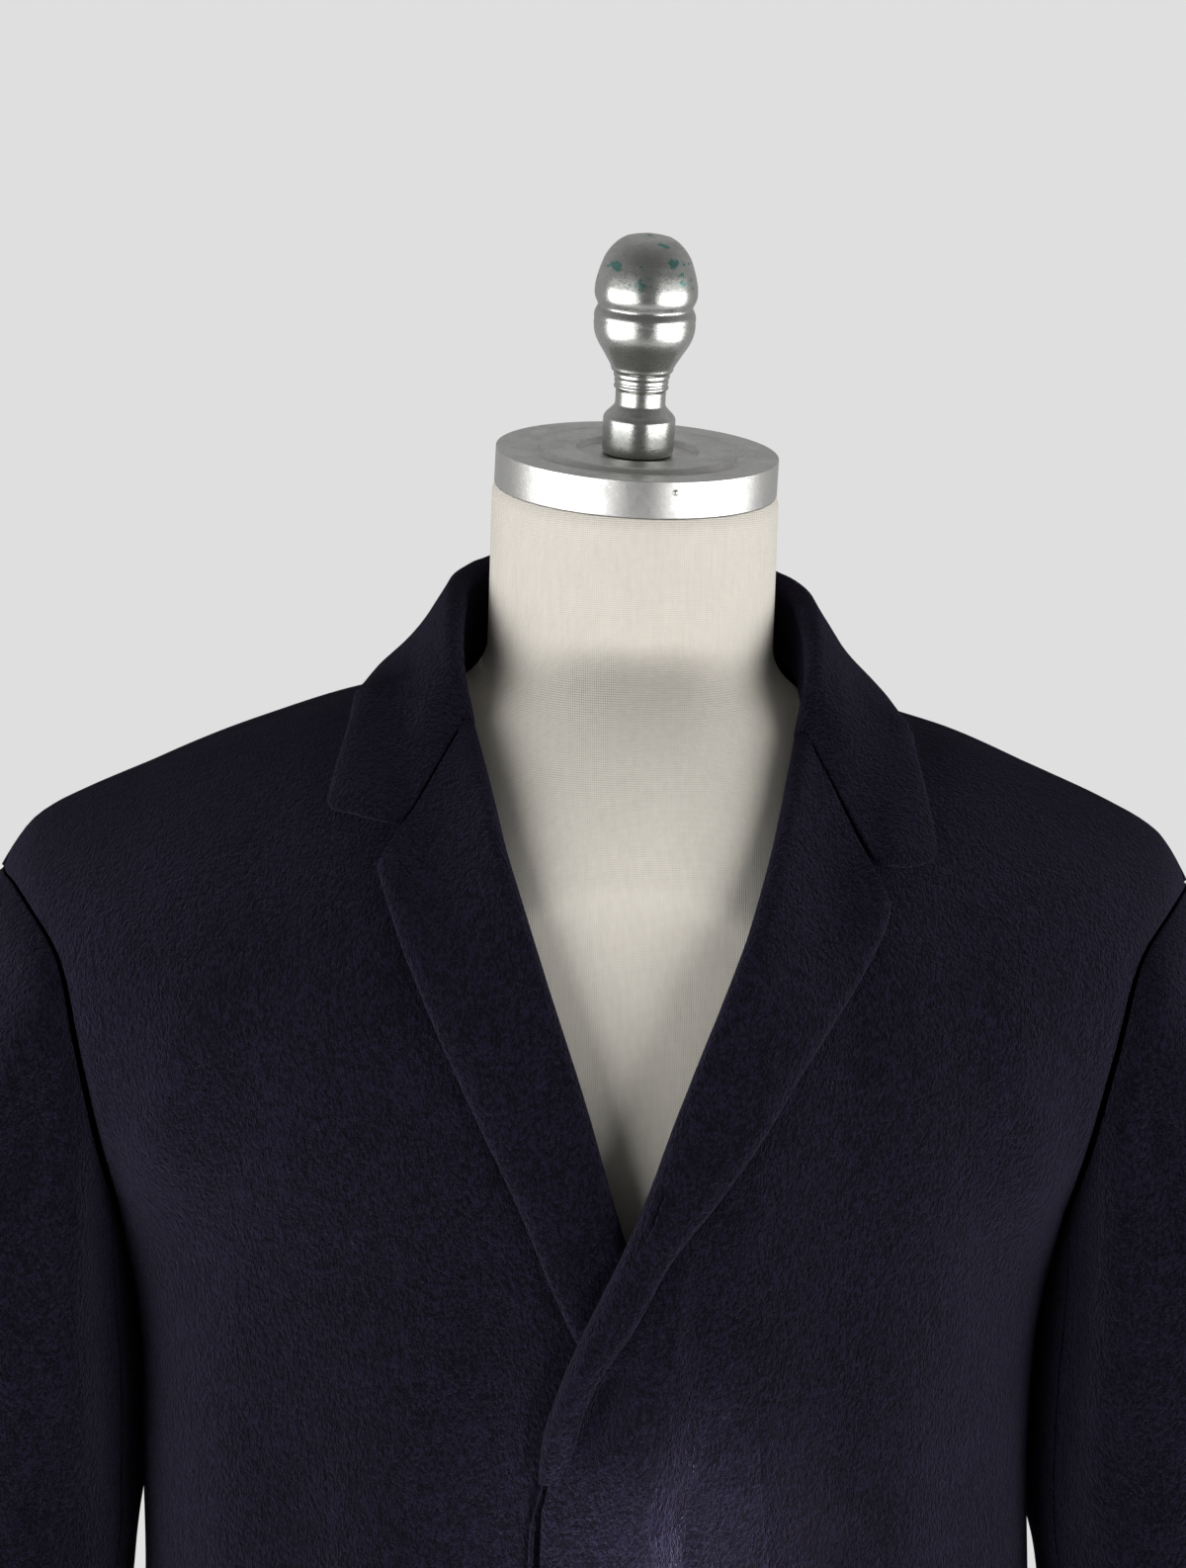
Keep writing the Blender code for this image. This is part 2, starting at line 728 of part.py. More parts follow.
def lapel_grid(side_name, lift):
    """A lapel: a short flange behind the front, the turned edge, then the leaf out to its edge."""
    roll, edge = lapel_edges(side_name)
    middle, across, out = fold_frame(*lapel_fold(side_name, lift))
    arc = fold_arc(middle, across, out, ARC_STEPS)
    flange = arc[:, :1] + across[:, None] * FLANGE
    share = np.linspace(0, 1, LAPEL_COLUMNS + 1)[1:]
    start = roll + unit(edge - roll) * FOLD_RADIUS
    flat = start[:, None] * (1 - share[None, :, None]) + edge[:, None] * share[None, :, None]
    x, z = flat[..., 0], flat[..., 1]
    rise = GORGE_RISE * ease(z, 1.385, 1.43) * ease(share, 0, 0.3)[None]
    leaf = surface(x, z, -1, lift(x, z) + FOLD_RADIUS - WALL / 2 + rise)
    return np.concatenate([flange, arc, leaf], axis=1)


def make_lapel(side_name, mirror, lift):
    grid = drawn_back(lapel_grid(side_name, lift), ("high",), TURNED, 2.4 * SEAM)
    cloth(f"lapel_{side_name}", slipped(mirrored(grid, mirror)), (0, -1, 0), (0.5, 0.9), TURNED)


def pushed_out(points, lift):
    """Points moved out where they lie nearer than lift to the body surface."""
    points = points.copy()
    for _ in range(6):
        x, y, z = points[..., 0], points[..., 1], points[..., 2]
        side = np.where(y > 0, 1.0, -1.0)
        small = 0.0005

        def outside(x, y, z):
            return side * y - np.where(side < 0, depth(x, z, -1), depth(x, z, 1))

        value = outside(x, y, z)
        slope = np.stack(
            [
                (outside(x + small, y, z) - outside(x - small, y, z)) / (2 * small),
                side,
                (outside(x, y, z + small) - outside(x, y, z - small)) / (2 * small),
            ],
            axis=-1,
        )
        steep = np.linalg.norm(slope, axis=-1)
        short = np.clip(lift - value / steep, 0, 0.01)
        points = points + unit(slope) * short[..., None]
    return points


COLLAR_HALF, COLLAR_LEAF, STAND_STEPS = 14, 6, 1


def on_body(row, lift):
    """A (x, z, side) row of a table as a point, raised from the body. side 0 is the ridge."""
    x, z, side = row
    if side == 0:
        return np.array([x, 0.0, z])
    return surface(x, z, side, lift)


def collar_grid():
    """Half of the collar, from the gorge seam to the centre back: stand, turned edge and leaf."""
    lift = FOLD_RADIUS - WALL / 2
    along = np.linspace(0, 1, COLLAR_HALF + 1)
    lapel_frame = [part[-1] for part in lapel_fold("right", no_lift)]
    crease = curve([lapel_frame[0], *CREASE["rows"]], along)
    outer = curve([on_body(row, lift) for row in LEAF_EDGE["rows"]], along)
    seam = curve([on_body(row, 0.0) for row in NECK_SEAM["rows"]], along)
    inward = unit(seam * np.array([1, 1, 0])) * -1
    seam = seam + inward * 1.65 * WALL + np.array([0, 0, 5 * SEAM])
    tangent = unit(np.gradient(crease, axis=0))
    tangent[-1] = (-1, 0, 0)
    across = outer - crease
    across = unit(across - tangent * (across * tangent).sum(-1, keepdims=True))
    out = unit(np.cross(across, tangent))
    away = (out * (crease * np.array([1, 1, 0]))).sum(-1, keepdims=True)
    out = out * np.sign(away)
    own = ease(along, 0, 0.3)[:, None]
    across = across * own + lapel_frame[1] * (1 - own)
    out = out * own + lapel_frame[2] * (1 - own)
    middle, across, out = fold_frame(crease, across, out)
    arc = fold_arc(middle, across, out, ARC_STEPS)
    share = np.linspace(0, 1, COLLAR_LEAF + 1)
    gorge_x, gorge_z = broken_line(GORGE["rows"], share).T
    gorge = surface(gorge_x, gorge_z, -1, lift)
    gorge[0] = arc[0, -1]
    back = arc[-1, -1] * (1 - share[:, None]) + outer[-1] * share[:, None]
    leaf = patch(arc[:, -1], outer, gorge, back, 1 - (1 - along) ** 3)
    belly = LEAF_BELLY * np.exp(-(((along - 0.42) / 0.16) ** 2))[:, None] * np.sin(np.pi * share)
    leaf = leaf + out[:, None] * belly[..., None]
    leaf = pushed_out(leaf, lift + SEAM)
    leaf[:, 0] = arc[:, -1]
    share = np.linspace(0, 1, STAND_STEPS + 1)[None, :-1, None]
    stand = seam[:, None] * (1 - share) + arc[:, :1] * share
    return np.concatenate([stand, arc, leaf[:, 1:]], axis=1)


def make_collar():
    half = drawn_back(collar_grid(), ("low",), TURNED, 2.4 * SEAM)
    half[-1, :, 0] = 0
    whole = np.concatenate([half, mirrored(half[::-1][1:], True)])
    cloth("collar", slipped(whole), (0, 1, 0.5), (0.5, 0.95), TURNED)


def make_fly():
    """The strip behind the left front's edge, which shows a little way past it."""
    z = rows_of_z(HEM_Z + 0.01, FLY_TOP_Z, 14)
    x = -FRONT_OVERLAP - FLY_PROUD + FLY_WIDTH * np.linspace(0, 1, 4)
    x, z = np.meshgrid(x, z)
    lift = np.full_like(x, WALL + 0.0006)
    points = surface(x, z, -1, lift)
    folded = round_point(round_angle(x, z), z, -1) - surface(x, z, -1)
    cloth("fly", slipped(points + folded), (0, -1, 0))


def form_reach(angle, z):
    """How far the torso's surface is from the axis in one direction, at one height."""
    low, high = 0.0, 0.25
    width, deep = read(FORM, "width", z), read(FORM, "depth", z)
    for _ in range(26):
        reach = (low + high) / 2
        x, y = reach * abs(math.sin(angle)), reach * abs(math.cos(angle))
        drop = 0.0057 - 0.0016 * ease(x, 0.078, 0.095) + 0.010 * ease(x, 0.105, 0.19)
        drop += max(-float(hang(x, z)), -float(hang(-x, z)), 0)
        side = -1 if math.cos(angle) > 0 else 1
        cover = float(depth(x, z + drop, side))
        limit = cover - 0.0125 * float(ease(cover, 0.0, 0.045))
        oval = max(1 - (x / width) ** 2.2, 0) ** (1 / 2.2) * deep
        if x < width and y < min(limit, oval):
            low = reach
        else:
            high = reach
    return low


def rounded_most(a, b, blend):
    """The larger of two lengths, with a soft change from one to the other."""
    near = max(blend - abs(a - b), 0) / blend
    return max(a, b) + near * near * blend / 4


def form_rings(steps):
    heights = [0.80, 0.803, 0.812, 0.86, 0.92, 1.0, 1.08, 1.16, 1.24, 1.31, 1.36, 1.39, 1.41]
    heights += [1.425, 1.438, 1.448, 1.456, 1.463, 1.469, 1.476, 1.486, 1.50, 1.52]
    heights += [NECK_TOP_Z]
    rings = []
    for z in heights:
        ring = []
        inset = {0.80: 0.010, 0.803: 0.004, 0.812: 0.0}.get(z, 0.0)
        for k in range(steps):
            angle = 2 * math.pi * k / steps
            flat_angle = math.atan2(math.sin(angle) * 1.5, math.cos(angle))
            reach = form_reach(flat_angle, z) - inset
            neck = NECK_RADIUS if z > 1.36 else 0.0
            reach = rounded_most(reach, neck, 0.010)
            x, y = reach * math.sin(flat_angle), -reach * math.cos(flat_angle)
            tilt = y * math.tan(NECK_TILT) - x * math.tan(NECK_LEAN) / math.cos(NECK_TILT)
            ring.append((x, y, z + tilt * float(ease(z, 1.50, NECK_TOP_Z))))
        rings.append(ring)
    return rings


def make_form():
    """The canvas-covered torso and neck, lofted through its rings and closed at both ends."""
    steps = 32
    rings = form_rings(steps)
    mesh = bpy.data.meshes.new("form_torso")
    work = bmesh.new()
    points = [[work.verts.new(point) for point in ring] for ring in rings]
    for low, high in zip(points, points[1:]):
        for k in range(steps):
            after = (k + 1) % steps
            work.faces.new((low[k], low[after], high[after], high[k]))
    work.faces.new(points[0][::-1])
    work.faces.new(points[-1])
    bmesh.ops.recalc_face_normals(work, faces=work.faces)
    work.to_mesh(mesh)
    work.free()
    add_object("form_torso", mesh, "canvas")


def cap_place():
    """The neck cap's frame: on the neck's sloping top, leaning forward with it."""
    lean = Matrix.Rotation(NECK_TILT, 4, "X") @ Matrix.Rotation(NECK_LEAN, 4, "Y")
    return Matrix.Translation((0, 0, NECK_TOP_Z + SEAM / math.cos(NECK_TILT))) @ lean


def make_cap_and_finial():
    edge = 0.0012
    recess_radius, recess = 0.047, 0.0012
    seat_radius = 0.026
    top = CAP_THICK
    profile = (
        (0, top - recess),
        (seat_radius, top - recess),
        (recess_radius - 0.004, top - recess * 1.2),
        (recess_radius, top),
        (CAP_RADIUS - edge, top),
        (CAP_RADIUS, top - edge),
        (CAP_RADIUS, edge),
        (CAP_RADIUS - edge, 0),
        (0, 0),
    )
    turned("neck_cap", profile, 32, "aluminium", cap_place())
    seat = Matrix.Translation((0, 0, top - recess + SEAM))
    rows = FINIAL["rows"][::-1]
    profile = [(0, rows[0][0] + 0.0005)] + [(radius, z) for z, radius in rows] + [(0, 0)]
    turned("finial", profile, 20, "patina_metal", cap_place() @ seat)


def make_stand():
    profile = (
        (0, 0.030),
        (POLE_RADIUS + 0.012, 0.030),
        (POLE_RADIUS + 0.016, 0.026),
        (0.080, 0.020),
        (BASE_RADIUS - 0.010, BASE_EDGE + 0.002),
        (BASE_RADIUS, BASE_EDGE - 0.003),
        (BASE_RADIUS, 0.002),
        (BASE_RADIUS - 0.002, 0),
        (0, 0),
    )
    turned("stand_base", profile, 36, "stand_metal")
    top, foot = FORM_BOTTOM_Z - SEAM, 0.030 + SEAM
    profile = ((0, top), (POLE_RADIUS, top), (POLE_RADIUS, foot), (0, foot))
    turned("stand_pole", profile, 24, "stand_metal")


def no_lift(x, z):
    return np.zeros_like(np.asarray(x, float) + np.asarray(z, float))


def main():
    for old in list(bpy.data.objects):
        bpy.data.objects.remove(old)
    coat = bpy.data.collections.new("wool_overcoat")
    bpy.context.scene.collection.children.link(coat)
    make_front("front_left", False, left_lift)
    make_front("front_right", True)
    make_back("back_left", False)
    make_back("back_right", True)
    make_sleeve("left", False)
    make_sleeve("right", True)
    make_lapel("left", False, left_lift)
    make_lapel("right", True, no_lift)
    make_collar()
    make_fly()
    make_form()
    make_cap_and_finial()
    make_stand()


main()
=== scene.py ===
"""The looks of a wool overcoat on a tailor's form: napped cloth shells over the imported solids.

Every panel is built from nearly the same tables as its solid, fitted more closely to the photo,
and is then given soft folds, rolled edges and seams. Metres. The front faces -Y, and the wearer's
left is +X.
"""

import math

import bpy
import numpy as np
from mathutils import Matrix, Vector


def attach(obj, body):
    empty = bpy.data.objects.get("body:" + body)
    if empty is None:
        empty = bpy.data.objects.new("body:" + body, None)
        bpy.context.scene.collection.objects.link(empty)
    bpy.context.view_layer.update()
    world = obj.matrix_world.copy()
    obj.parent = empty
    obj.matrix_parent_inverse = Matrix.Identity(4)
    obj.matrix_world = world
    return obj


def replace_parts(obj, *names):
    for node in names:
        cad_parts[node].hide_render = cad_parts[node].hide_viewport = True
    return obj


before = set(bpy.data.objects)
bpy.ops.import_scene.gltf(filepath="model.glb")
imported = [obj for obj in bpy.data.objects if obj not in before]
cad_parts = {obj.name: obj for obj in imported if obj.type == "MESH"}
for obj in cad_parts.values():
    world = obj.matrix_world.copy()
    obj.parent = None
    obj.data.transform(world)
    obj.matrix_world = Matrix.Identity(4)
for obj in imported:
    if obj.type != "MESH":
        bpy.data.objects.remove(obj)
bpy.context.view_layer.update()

# How fine each piece is.
LOW_ROWS, HIGH_ROWS = 90, 84
TOP_POWER = 1.1  # over 1 brings the rows closer together towards the top
LAPEL_ROWS, LAPEL_COLUMNS, ARC_STEPS = 96, 26, 15
COLLAR_HALF, COLLAR_LEAF, STAND_STEPS = 84, 30, 9
CROWN_ROWS = 44
SLEEVE_STEPS = 120
CUFF_ROWS = 70
EDGE_LINES = (0.0, 0.0024, 0.0038, 0.0050, 0.0058, 0.0066, 0.0080, 0.0105)
SEAM_LINES = (0.0, 0.0018, 0.0045)
TUCK = {"free": 0.5, "seam": 0.14}  # how deep an edge is rounded, in walls
SEAM_SWELL = 1.5  # a seam's rounding is fuller than its depth, so that less light shows through
SMALL = 0.0005  # the step over which a slope is measured
STITCH = 0.0060  # the edge stitching's distance from a free edge

# Cloth
WALL = 0.0025  # coating of a front, back or sleeve
TURNED = 0.0026  # collar and lapel, with their facing
SEAM = 0.0003  # two pieces at a seam
LEAF_GAP = 0.0015  # between a panel and the lapel or collar that lies on it
FOLD_RADIUS = WALL / 2 + LEAF_GAP + TURNED  # outer radius of a lapel's or the collar's turned edge
FLANGE = 0.009  # how far a lapel's cloth runs on behind the front
LEAF_BELLY = 0.0020  # how far the collar's leaf rounds out over the shoulder
GORGE_RISE = 0.0009  # how much further a lapel stands off the front at its top

# Coat
HEM_Z = 0.45
UNDERARM_Z = 1.193
SECTION_POWER = 2.15  # 2 is an ellipse, more is boxier
FRONT_OVERLAP = 0.034  # each front crosses the centre line by this much
BREAK_Z = 1.150  # where the lapels start to turn out
FLY_PROUD = 0.005  # the fly's under-layer shows this far past the left front's edge
FLY_TOP_Z = 1.128
SLIP = 0.012  # the coat has slipped this far to the wearer's right at the shoulders

# Form and stand
NECK_RADIUS = 0.0657
NECK_TOP_Z = 1.5525
NECK_TILT = math.radians(6.5)  # the cap slopes down to the front
NECK_LEAN = math.radians(0.9)  # and a little to the wearer's left
CAP_RADIUS = 0.0649
CAP_THICK = 0.0172
FORM_BOTTOM_Z = 0.80
POLE_RADIUS = 0.014
BASE_RADIUS = 0.19
BASE_EDGE = 0.012

# The coat's sections: half width at the sides, and depth in front of and behind the middle plane.
# Above the underarm the width is that of the oval on which the armhole's edge lies.
BODY = {
    "columns": ("z", "width", "front", "back"),
    "rows": (
        (0.45, 0.24, 0.17, 0.166), (0.7, 0.2225, 0.158, 0.153), (0.95, 0.2085, 0.147, 0.142),
        (1.1, 0.207, 0.146, 0.141), (1.193, 0.214, 0.148, 0.143), (1.221, 0.2257, 0.148, 0.1435),
        (1.256, 0.2503, 0.1475, 0.144), (1.299, 0.271, 0.146, 0.1435), (1.34, 0.29, 0.144, 0.142),
        (1.42, 0.305, 0.142, 0.14), (1.52, 0.31, 0.14, 0.138),
    ),
}

# The line along the top of the shoulder, and how far below it the cloth has rounded over.
SHOULDER = {
    "columns": ("x", "z", "round"),
    "rows": (
        (0.0, 1.514, 0.16), (0.012, 1.5135, 0.16), (0.03, 1.508, 0.16), (0.06, 1.4855, 0.16),
        (0.079, 1.47, 0.16), (0.117, 1.4573, 0.152), (0.158, 1.4432, 0.143),
        (0.2035, 1.4248, 0.134), (0.24, 1.4084, 0.128), (0.2516, 1.4022, 0.127),
        (0.2615, 1.3944, 0.125), (0.268, 1.3852, 0.125), (0.2745, 1.3737, 0.125),
        (0.281, 1.36, 0.125),
    ),
}

# The armhole's edge, by the angle round the sleeve: 0 is the shoulder, 90 the front, 180 the
# underarm. The back follows the same widths and heights.
ARMHOLE = {
    "columns": ("angle", "x", "z"),
    "rows": (
        (0, 0.2745, 1.3737), (30, 0.2655, 1.3685), (60, 0.2455, 1.34), (90, 0.2355, 1.299),
        (120, 0.2262, 1.256), (150, 0.2185, 1.221), (180, 0.214, 1.193),
    ),
}

# The sleeve below the underarm: how far it stands off the body's side, its half sizes across and
# fore and aft, and how far forward its middle is.
SLEEVE = {
    "columns": ("z", "clear", "across", "along", "forward"),
    "rows": (
        (0.77, 0.018, 0.046, 0.059, 0.036), (0.86, 0.017, 0.049, 0.062, 0.027),
        (0.95, 0.013, 0.053, 0.068, 0.015), (1.05, 0.0042, 0.0571, 0.0759, 0.005),
        (1.08, 0.0012, 0.0585, 0.078, 0.002), (1.165, 0.001, 0.06, 0.083, 0.0),
    ),
}
SLEEVE_TUCK = 0.003  # how far the sleeve closes in behind the body's side
SLEEVE_UNDER = (150, 240)  # the angles between which the under sleeve lies

# The roll line, up from the break to where the collar starts. x is across the centre line at first.
ROLL = {
    "columns": ("z", "x"),
    "rows": (
        (1.15, -0.0308), (1.184, -0.0184), (1.229, 0.0), (1.288, 0.019), (1.3256, 0.032),
        (1.3694, 0.0475), (1.4045, 0.0595), (1.438, 0.069), (1.4535, 0.0733),
    ),
}

# The lapels' outer edges, up from the break to the tip. The left one lies on top.
LAPEL_EDGE = {
    "columns": ("z", "x"),
    "left": (
        (1.153, -0.0168), (1.165, -0.0128), (1.194, 0.0044), (1.2258, 0.0195), (1.2539, 0.0385),
        (1.2818, 0.056), (1.3203, 0.078), (1.3468, 0.0955), (1.369, 0.1082), (1.379, 0.113),
        (1.385, 0.1142),
    ),
    "right": (
        (1.153, -0.0225), (1.167, 0.006), (1.184, 0.021), (1.2036, 0.031), (1.244, 0.049),
        (1.283, 0.069), (1.326, 0.0905), (1.3555, 0.104), (1.372, 0.11), (1.38, 0.1126),
        (1.385, 0.1138),
    ),
}

# The front end of the collar's leaf: along the gorge seam, then the notch, out to the corner.
GORGE = {
    "columns": ("x", "z"),
    "rows": (
        (0.0733, 1.4535), (0.0897, 1.4277), (0.106, 1.402), (0.12, 1.4012), (0.1337, 1.4032),
        (0.1363, 1.408),
    ),
}

# The outer edge of the collar's leaf from that corner over the shoulder, where side is 0, to the
# centre back.
LEAF_EDGE = {
    "columns": ("x", "z", "side"),
    "rows": (
        (0.1363, 1.408, -1), (0.1335, 1.418, -1), (0.1302, 1.43, -1), (0.1254, 1.4445, -1),
        (0.1218, 1.4525, -1), (0.118, 1.4614, 0), (0.1125, 1.4545, 1), (0.104, 1.452, 1),
        (0.087, 1.4515, 1), (0.048, 1.457, 1), (0.0, 1.464, 1),
    ),
}

# The collar's crease, up from the gorge seam and round to the centre back.
CREASE = {
    "columns": ("x", "y", "z"),
    "rows": (
        (0.0775, -0.048, 1.4785), (0.0775, -0.018, 1.4985), (0.0735, 0.022, 1.5095),
        (0.0485, 0.0625, 1.518), (0.0, 0.082, 1.522),
    ),
}

# The neck seam, where the fronts and backs end and the collar's stand begins.
NECK_SEAM = {
    "columns": ("x", "z", "side"),
    "rows": (
        (0.0803, 1.451, -1), (0.0797, 1.4605, -1), (0.079, 1.47, 0), (0.069, 1.472, 1),
        (0.04, 1.4805, 1), (0.0, 1.488, 1),
    ),
}

# How much higher the coat hangs than it would level, from the wearer's right to the left.
HANG = {
    "columns": ("x", "rise", "ridge"),
    "rows": (
        (-0.26, 0.0, -0.0035), (-0.2, 0.002, -0.003), (-0.16, 0.0045, -0.001),
        (-0.125, 0.006, 0.0018), (-0.06, 0.003, -0.0015), (0.0, 0.002, 0.002),
        (0.06, -0.003, -0.003), (0.125, -0.007, -0.0018), (0.16, -0.0045, 0.001),
        (0.2, 0.0035, 0.003), (0.26, 0.012, 0.0035),
    ),
}
RIDGE_REACH = (0.075, 0.010)  # how far below the top the ridge's own rise starts, and is whole

# The form's own half sizes below the shoulders.
FORM = {
    "columns": ("z", "width", "depth"),
    "rows": (
        (0.8, 0.16, 0.118), (0.9, 0.168, 0.122), (1.02, 0.15, 0.108), (1.15, 0.165, 0.119),
        (1.25, 0.18, 0.126), (1.36, 0.192, 0.126), (1.6, 0.196, 0.126),
    ),
}

# The turned knob on the neck cap: distance from the cap, and radius.
FINIAL = {
    "columns": ("z", "radius"),
    "rows": (
        (0.0, 0.0156), (0.0012, 0.0162), (0.008, 0.0165), (0.0158, 0.0166), (0.017, 0.0164),
        (0.0184, 0.0155), (0.0205, 0.0134), (0.0231, 0.0116), (0.027, 0.0115), (0.0319, 0.0123),
        (0.0387, 0.0136), (0.0417, 0.0151), (0.0466, 0.018), (0.0515, 0.021), (0.0554, 0.0226),
        (0.059, 0.0232), (0.0632, 0.0233), (0.065, 0.0231), (0.0668, 0.0224), (0.0684, 0.0217),
        (0.07, 0.0223), (0.0718, 0.0231), (0.075, 0.0236), (0.078, 0.0234), (0.081, 0.0228),
        (0.0845, 0.0219), (0.0878, 0.0208), (0.091, 0.0195), (0.0937, 0.0178), (0.0962, 0.0157),
        (0.0986, 0.0128), (0.1002, 0.0095), (0.1011, 0.0052),
    ),
}

# Skirt folds: how many to a quarter of the section, and how deep at the hem.
SKIRT_FOLDS = 2
SKIRT_FOLD_DEPTH = 0.006
SKIRT_FOLD_TOP_Z = 1.0


def slopes_between(keys, values, monotone):
    """The slope of a smooth curve at each of its points."""
    steps = np.diff(keys)
    chords = np.diff(values) / steps
    slopes = np.empty(len(keys))
    slopes[0], slopes[-1] = chords[0], chords[-1]
    before, after = steps[:-1], steps[1:]
    slopes[1:-1] = (chords[:-1] * after + chords[1:] * before) / (before + after)
    if monotone:
        turning = chords[:-1] * chords[1:] <= 0
        slopes[1:-1][turning] = 0
        most = 3 * np.minimum(np.abs(chords[:-1]), np.abs(chords[1:]))
        slopes[1:-1] = np.clip(slopes[1:-1], -most, most)
    return slopes


def smooth(keys, values, at, monotone=True):
    """A cubic curve through (keys, values), read at the given places."""
    keys, values = np.asarray(keys, float), np.asarray(values, float)
    at = np.clip(np.asarray(at, float), keys[0], keys[-1])
    slopes = slopes_between(keys, values, monotone)
    i = np.clip(np.searchsorted(keys, at, side="right") - 1, 0, len(keys) - 2)
    step = keys[i + 1] - keys[i]
    t = (at - keys[i]) / step
    return (
        values[i] * (1 + 2 * t) * (1 - t) ** 2
        + slopes[i] * step * t * (1 - t) ** 2
        + values[i + 1] * t * t * (3 - 2 * t)
        + slopes[i + 1] * step * t * t * (t - 1)
    )


def read(table, column, at, rows="rows"):
    """One named column of a table, at a value of its first column."""
    data = np.array(table[rows])
    return smooth(data[:, 0], data[:, table["columns"].index(column)], at)


def length_shares(points):
    """Each point's share of the way along the line through them."""
    keys = np.concatenate([[0], np.cumsum(np.linalg.norm(np.diff(points, axis=0), axis=1))])
    return keys / keys[-1]


def curve(points, at):
    """A curve through the points, by the share of its length from 0 to 1."""
    points = np.asarray(points, float)
    keys = length_shares(points)
    return np.stack([smooth(keys, column, at, False) for column in points.T], axis=-1)


def broken_line(points, at):
    """Straight stretches through the points, by the share of their length from 0 to 1."""
    points = np.asarray(points, float)
    keys = length_shares(points)
    return np.stack([np.interp(at, keys, column) for column in points.T], axis=-1)


def ease(value, start, end):
    """0 before start, 1 after end, and smooth between them."""
    t = np.clip((np.asarray(value, float) - start) / (end - start), 0, 1)
    return t * t * (3 - 2 * t)


def unit(vectors):
    return vectors / np.linalg.norm(vectors, axis=-1, keepdims=True)


def shoulder_round(x, z):
    """How far the cloth has rounded over at this height: 0 on the shoulder's ridge, 1 below."""
    below = read(SHOULDER, "z", np.abs(x)) - z
    share = np.clip(below / read(SHOULDER, "round", np.abs(x)), 0, 1)
    return np.sqrt(share * (2 - share))


def depth(x, z, side):
    """How far the coat's outer surface is from the middle plane. side is -1 in front, 1 behind."""
    across = np.clip(np.abs(x) / read(BODY, "width", z), 0, 1)
    oval = (1 - across**SECTION_POWER) ** (1 / SECTION_POWER)
    return read(BODY, "front" if side < 0 else "back", z) * oval * shoulder_round(x, z)


def surface(x, z, side, lift=0.0):
    """A point of the body surface, moved out by lift along its normal."""
    x, z = np.broadcast_arrays(np.asarray(x, float), np.asarray(z, float))
    across = (depth(x + SMALL, z, side) - depth(x - SMALL, z, side)) / (2 * SMALL)
    up = (depth(x, z + SMALL, side) - depth(x, z - SMALL, side)) / (2 * SMALL)
    out = unit(np.stack([-across, np.full_like(x, side), -up], axis=-1))
    return np.stack([x, side * depth(x, z, side), z], axis=-1) + out * np.asarray(lift)[..., None]


def round_angle(x, z):
    """The angle round the section at which the surface has this x."""
    across = np.clip(np.abs(x) / read(BODY, "width", z), 0, 1)
    return np.sign(x) * np.arcsin(across ** (SECTION_POWER / 2))


def round_point(angle, z, side):
    """The surface point at an angle round the section, with the skirt's folds."""
    x = read(BODY, "width", z) * np.abs(np.sin(angle)) ** (2 / SECTION_POWER) * np.sign(angle)
    full = read(BODY, "front" if side < 0 else "back", z)
    oval = np.clip(np.cos(angle), 0, 1) ** (2 / SECTION_POWER)
    y = side * full * oval * shoulder_round(x, z)
    fall = ease(-z, -SKIRT_FOLD_TOP_Z, -HEM_Z)
    fold = 1 + SKIRT_FOLD_DEPTH / 0.4 * fall * np.cos(4 * SKIRT_FOLDS * angle)
    return np.stack([x * fold, y * fold, z], axis=-1)


def hang(x, z):
    """How much higher the coat hangs here than it would level."""
    top = z - read(SHOULDER, "z", np.abs(x))
    near = ease(top, -RIDGE_REACH[0], -RIDGE_REACH[1])
    rise = read(HANG, "rise", x) * (1 - near) + read(HANG, "ridge", x) * near
    return rise * ease(z, 1.0, 1.25)


def slipped(points):
    """The points where the coat hangs after it has slipped a little to the wearer's right."""
    points = np.array(points)
    outer = ease(np.abs(points[..., 0]), 0.10, 0.20)
    high = 0.45 + 0.25 * ease(points[..., 2], 1.03, 1.11) + 0.3 * ease(points[..., 2], 1.10, 1.30)
    points[..., 2] += hang(points[..., 0], points[..., 2])
    points[..., 0] -= SLIP * outer * high
    return points


def left_lift(x, z):
    """How far the left front lies above the right one, which fades out towards its side."""
    lift = 0.0068 + 0.0042 * ease(z, 1.08, 1.14)
    return lift * (1 - ease(x, 0.045, 0.105)) * (1 - ease(z, 1.33, 1.42))


def patch(left, right, bottom, top, weights):
    """A grid between four edges. weights is each row's height share."""
    u = np.linspace(0, 1, len(bottom))[None, :, None]
    w = weights[:, None, None]
    low = (1 - u) * bottom[0] + u * bottom[-1]
    corners = (1 - w) * low + w * ((1 - u) * top[0] + u * top[-1])
    sides = (1 - u) * left[:, None] + u * right[:, None]
    return sides + (1 - w) * bottom[None] + w * top[None] - corners


def rows_of_z(low, high, count, power=1.0):
    """Heights from low to high, closer together near the top where power is over 1."""
    t = np.linspace(0, 1, count)
    return low + (high - low) * (1 - (1 - t) ** power)


def side_edge(count_low, count_high):
    """(angle, z) up a panel's side seam and on round the armhole to the shoulder."""
    low = rows_of_z(HEM_Z, UNDERARM_Z, count_low)
    seam = np.stack([np.full(count_low, math.pi / 2), low], axis=-1)
    turn = np.linspace(180, 0, count_high)
    x, z = read(ARMHOLE, "x", turn), read(ARMHOLE, "z", turn)
    hole = np.stack([round_angle(x, z), z], axis=-1)
    hole[0, 0] = math.pi / 2
    return np.concatenate([seam, hole[1:]])


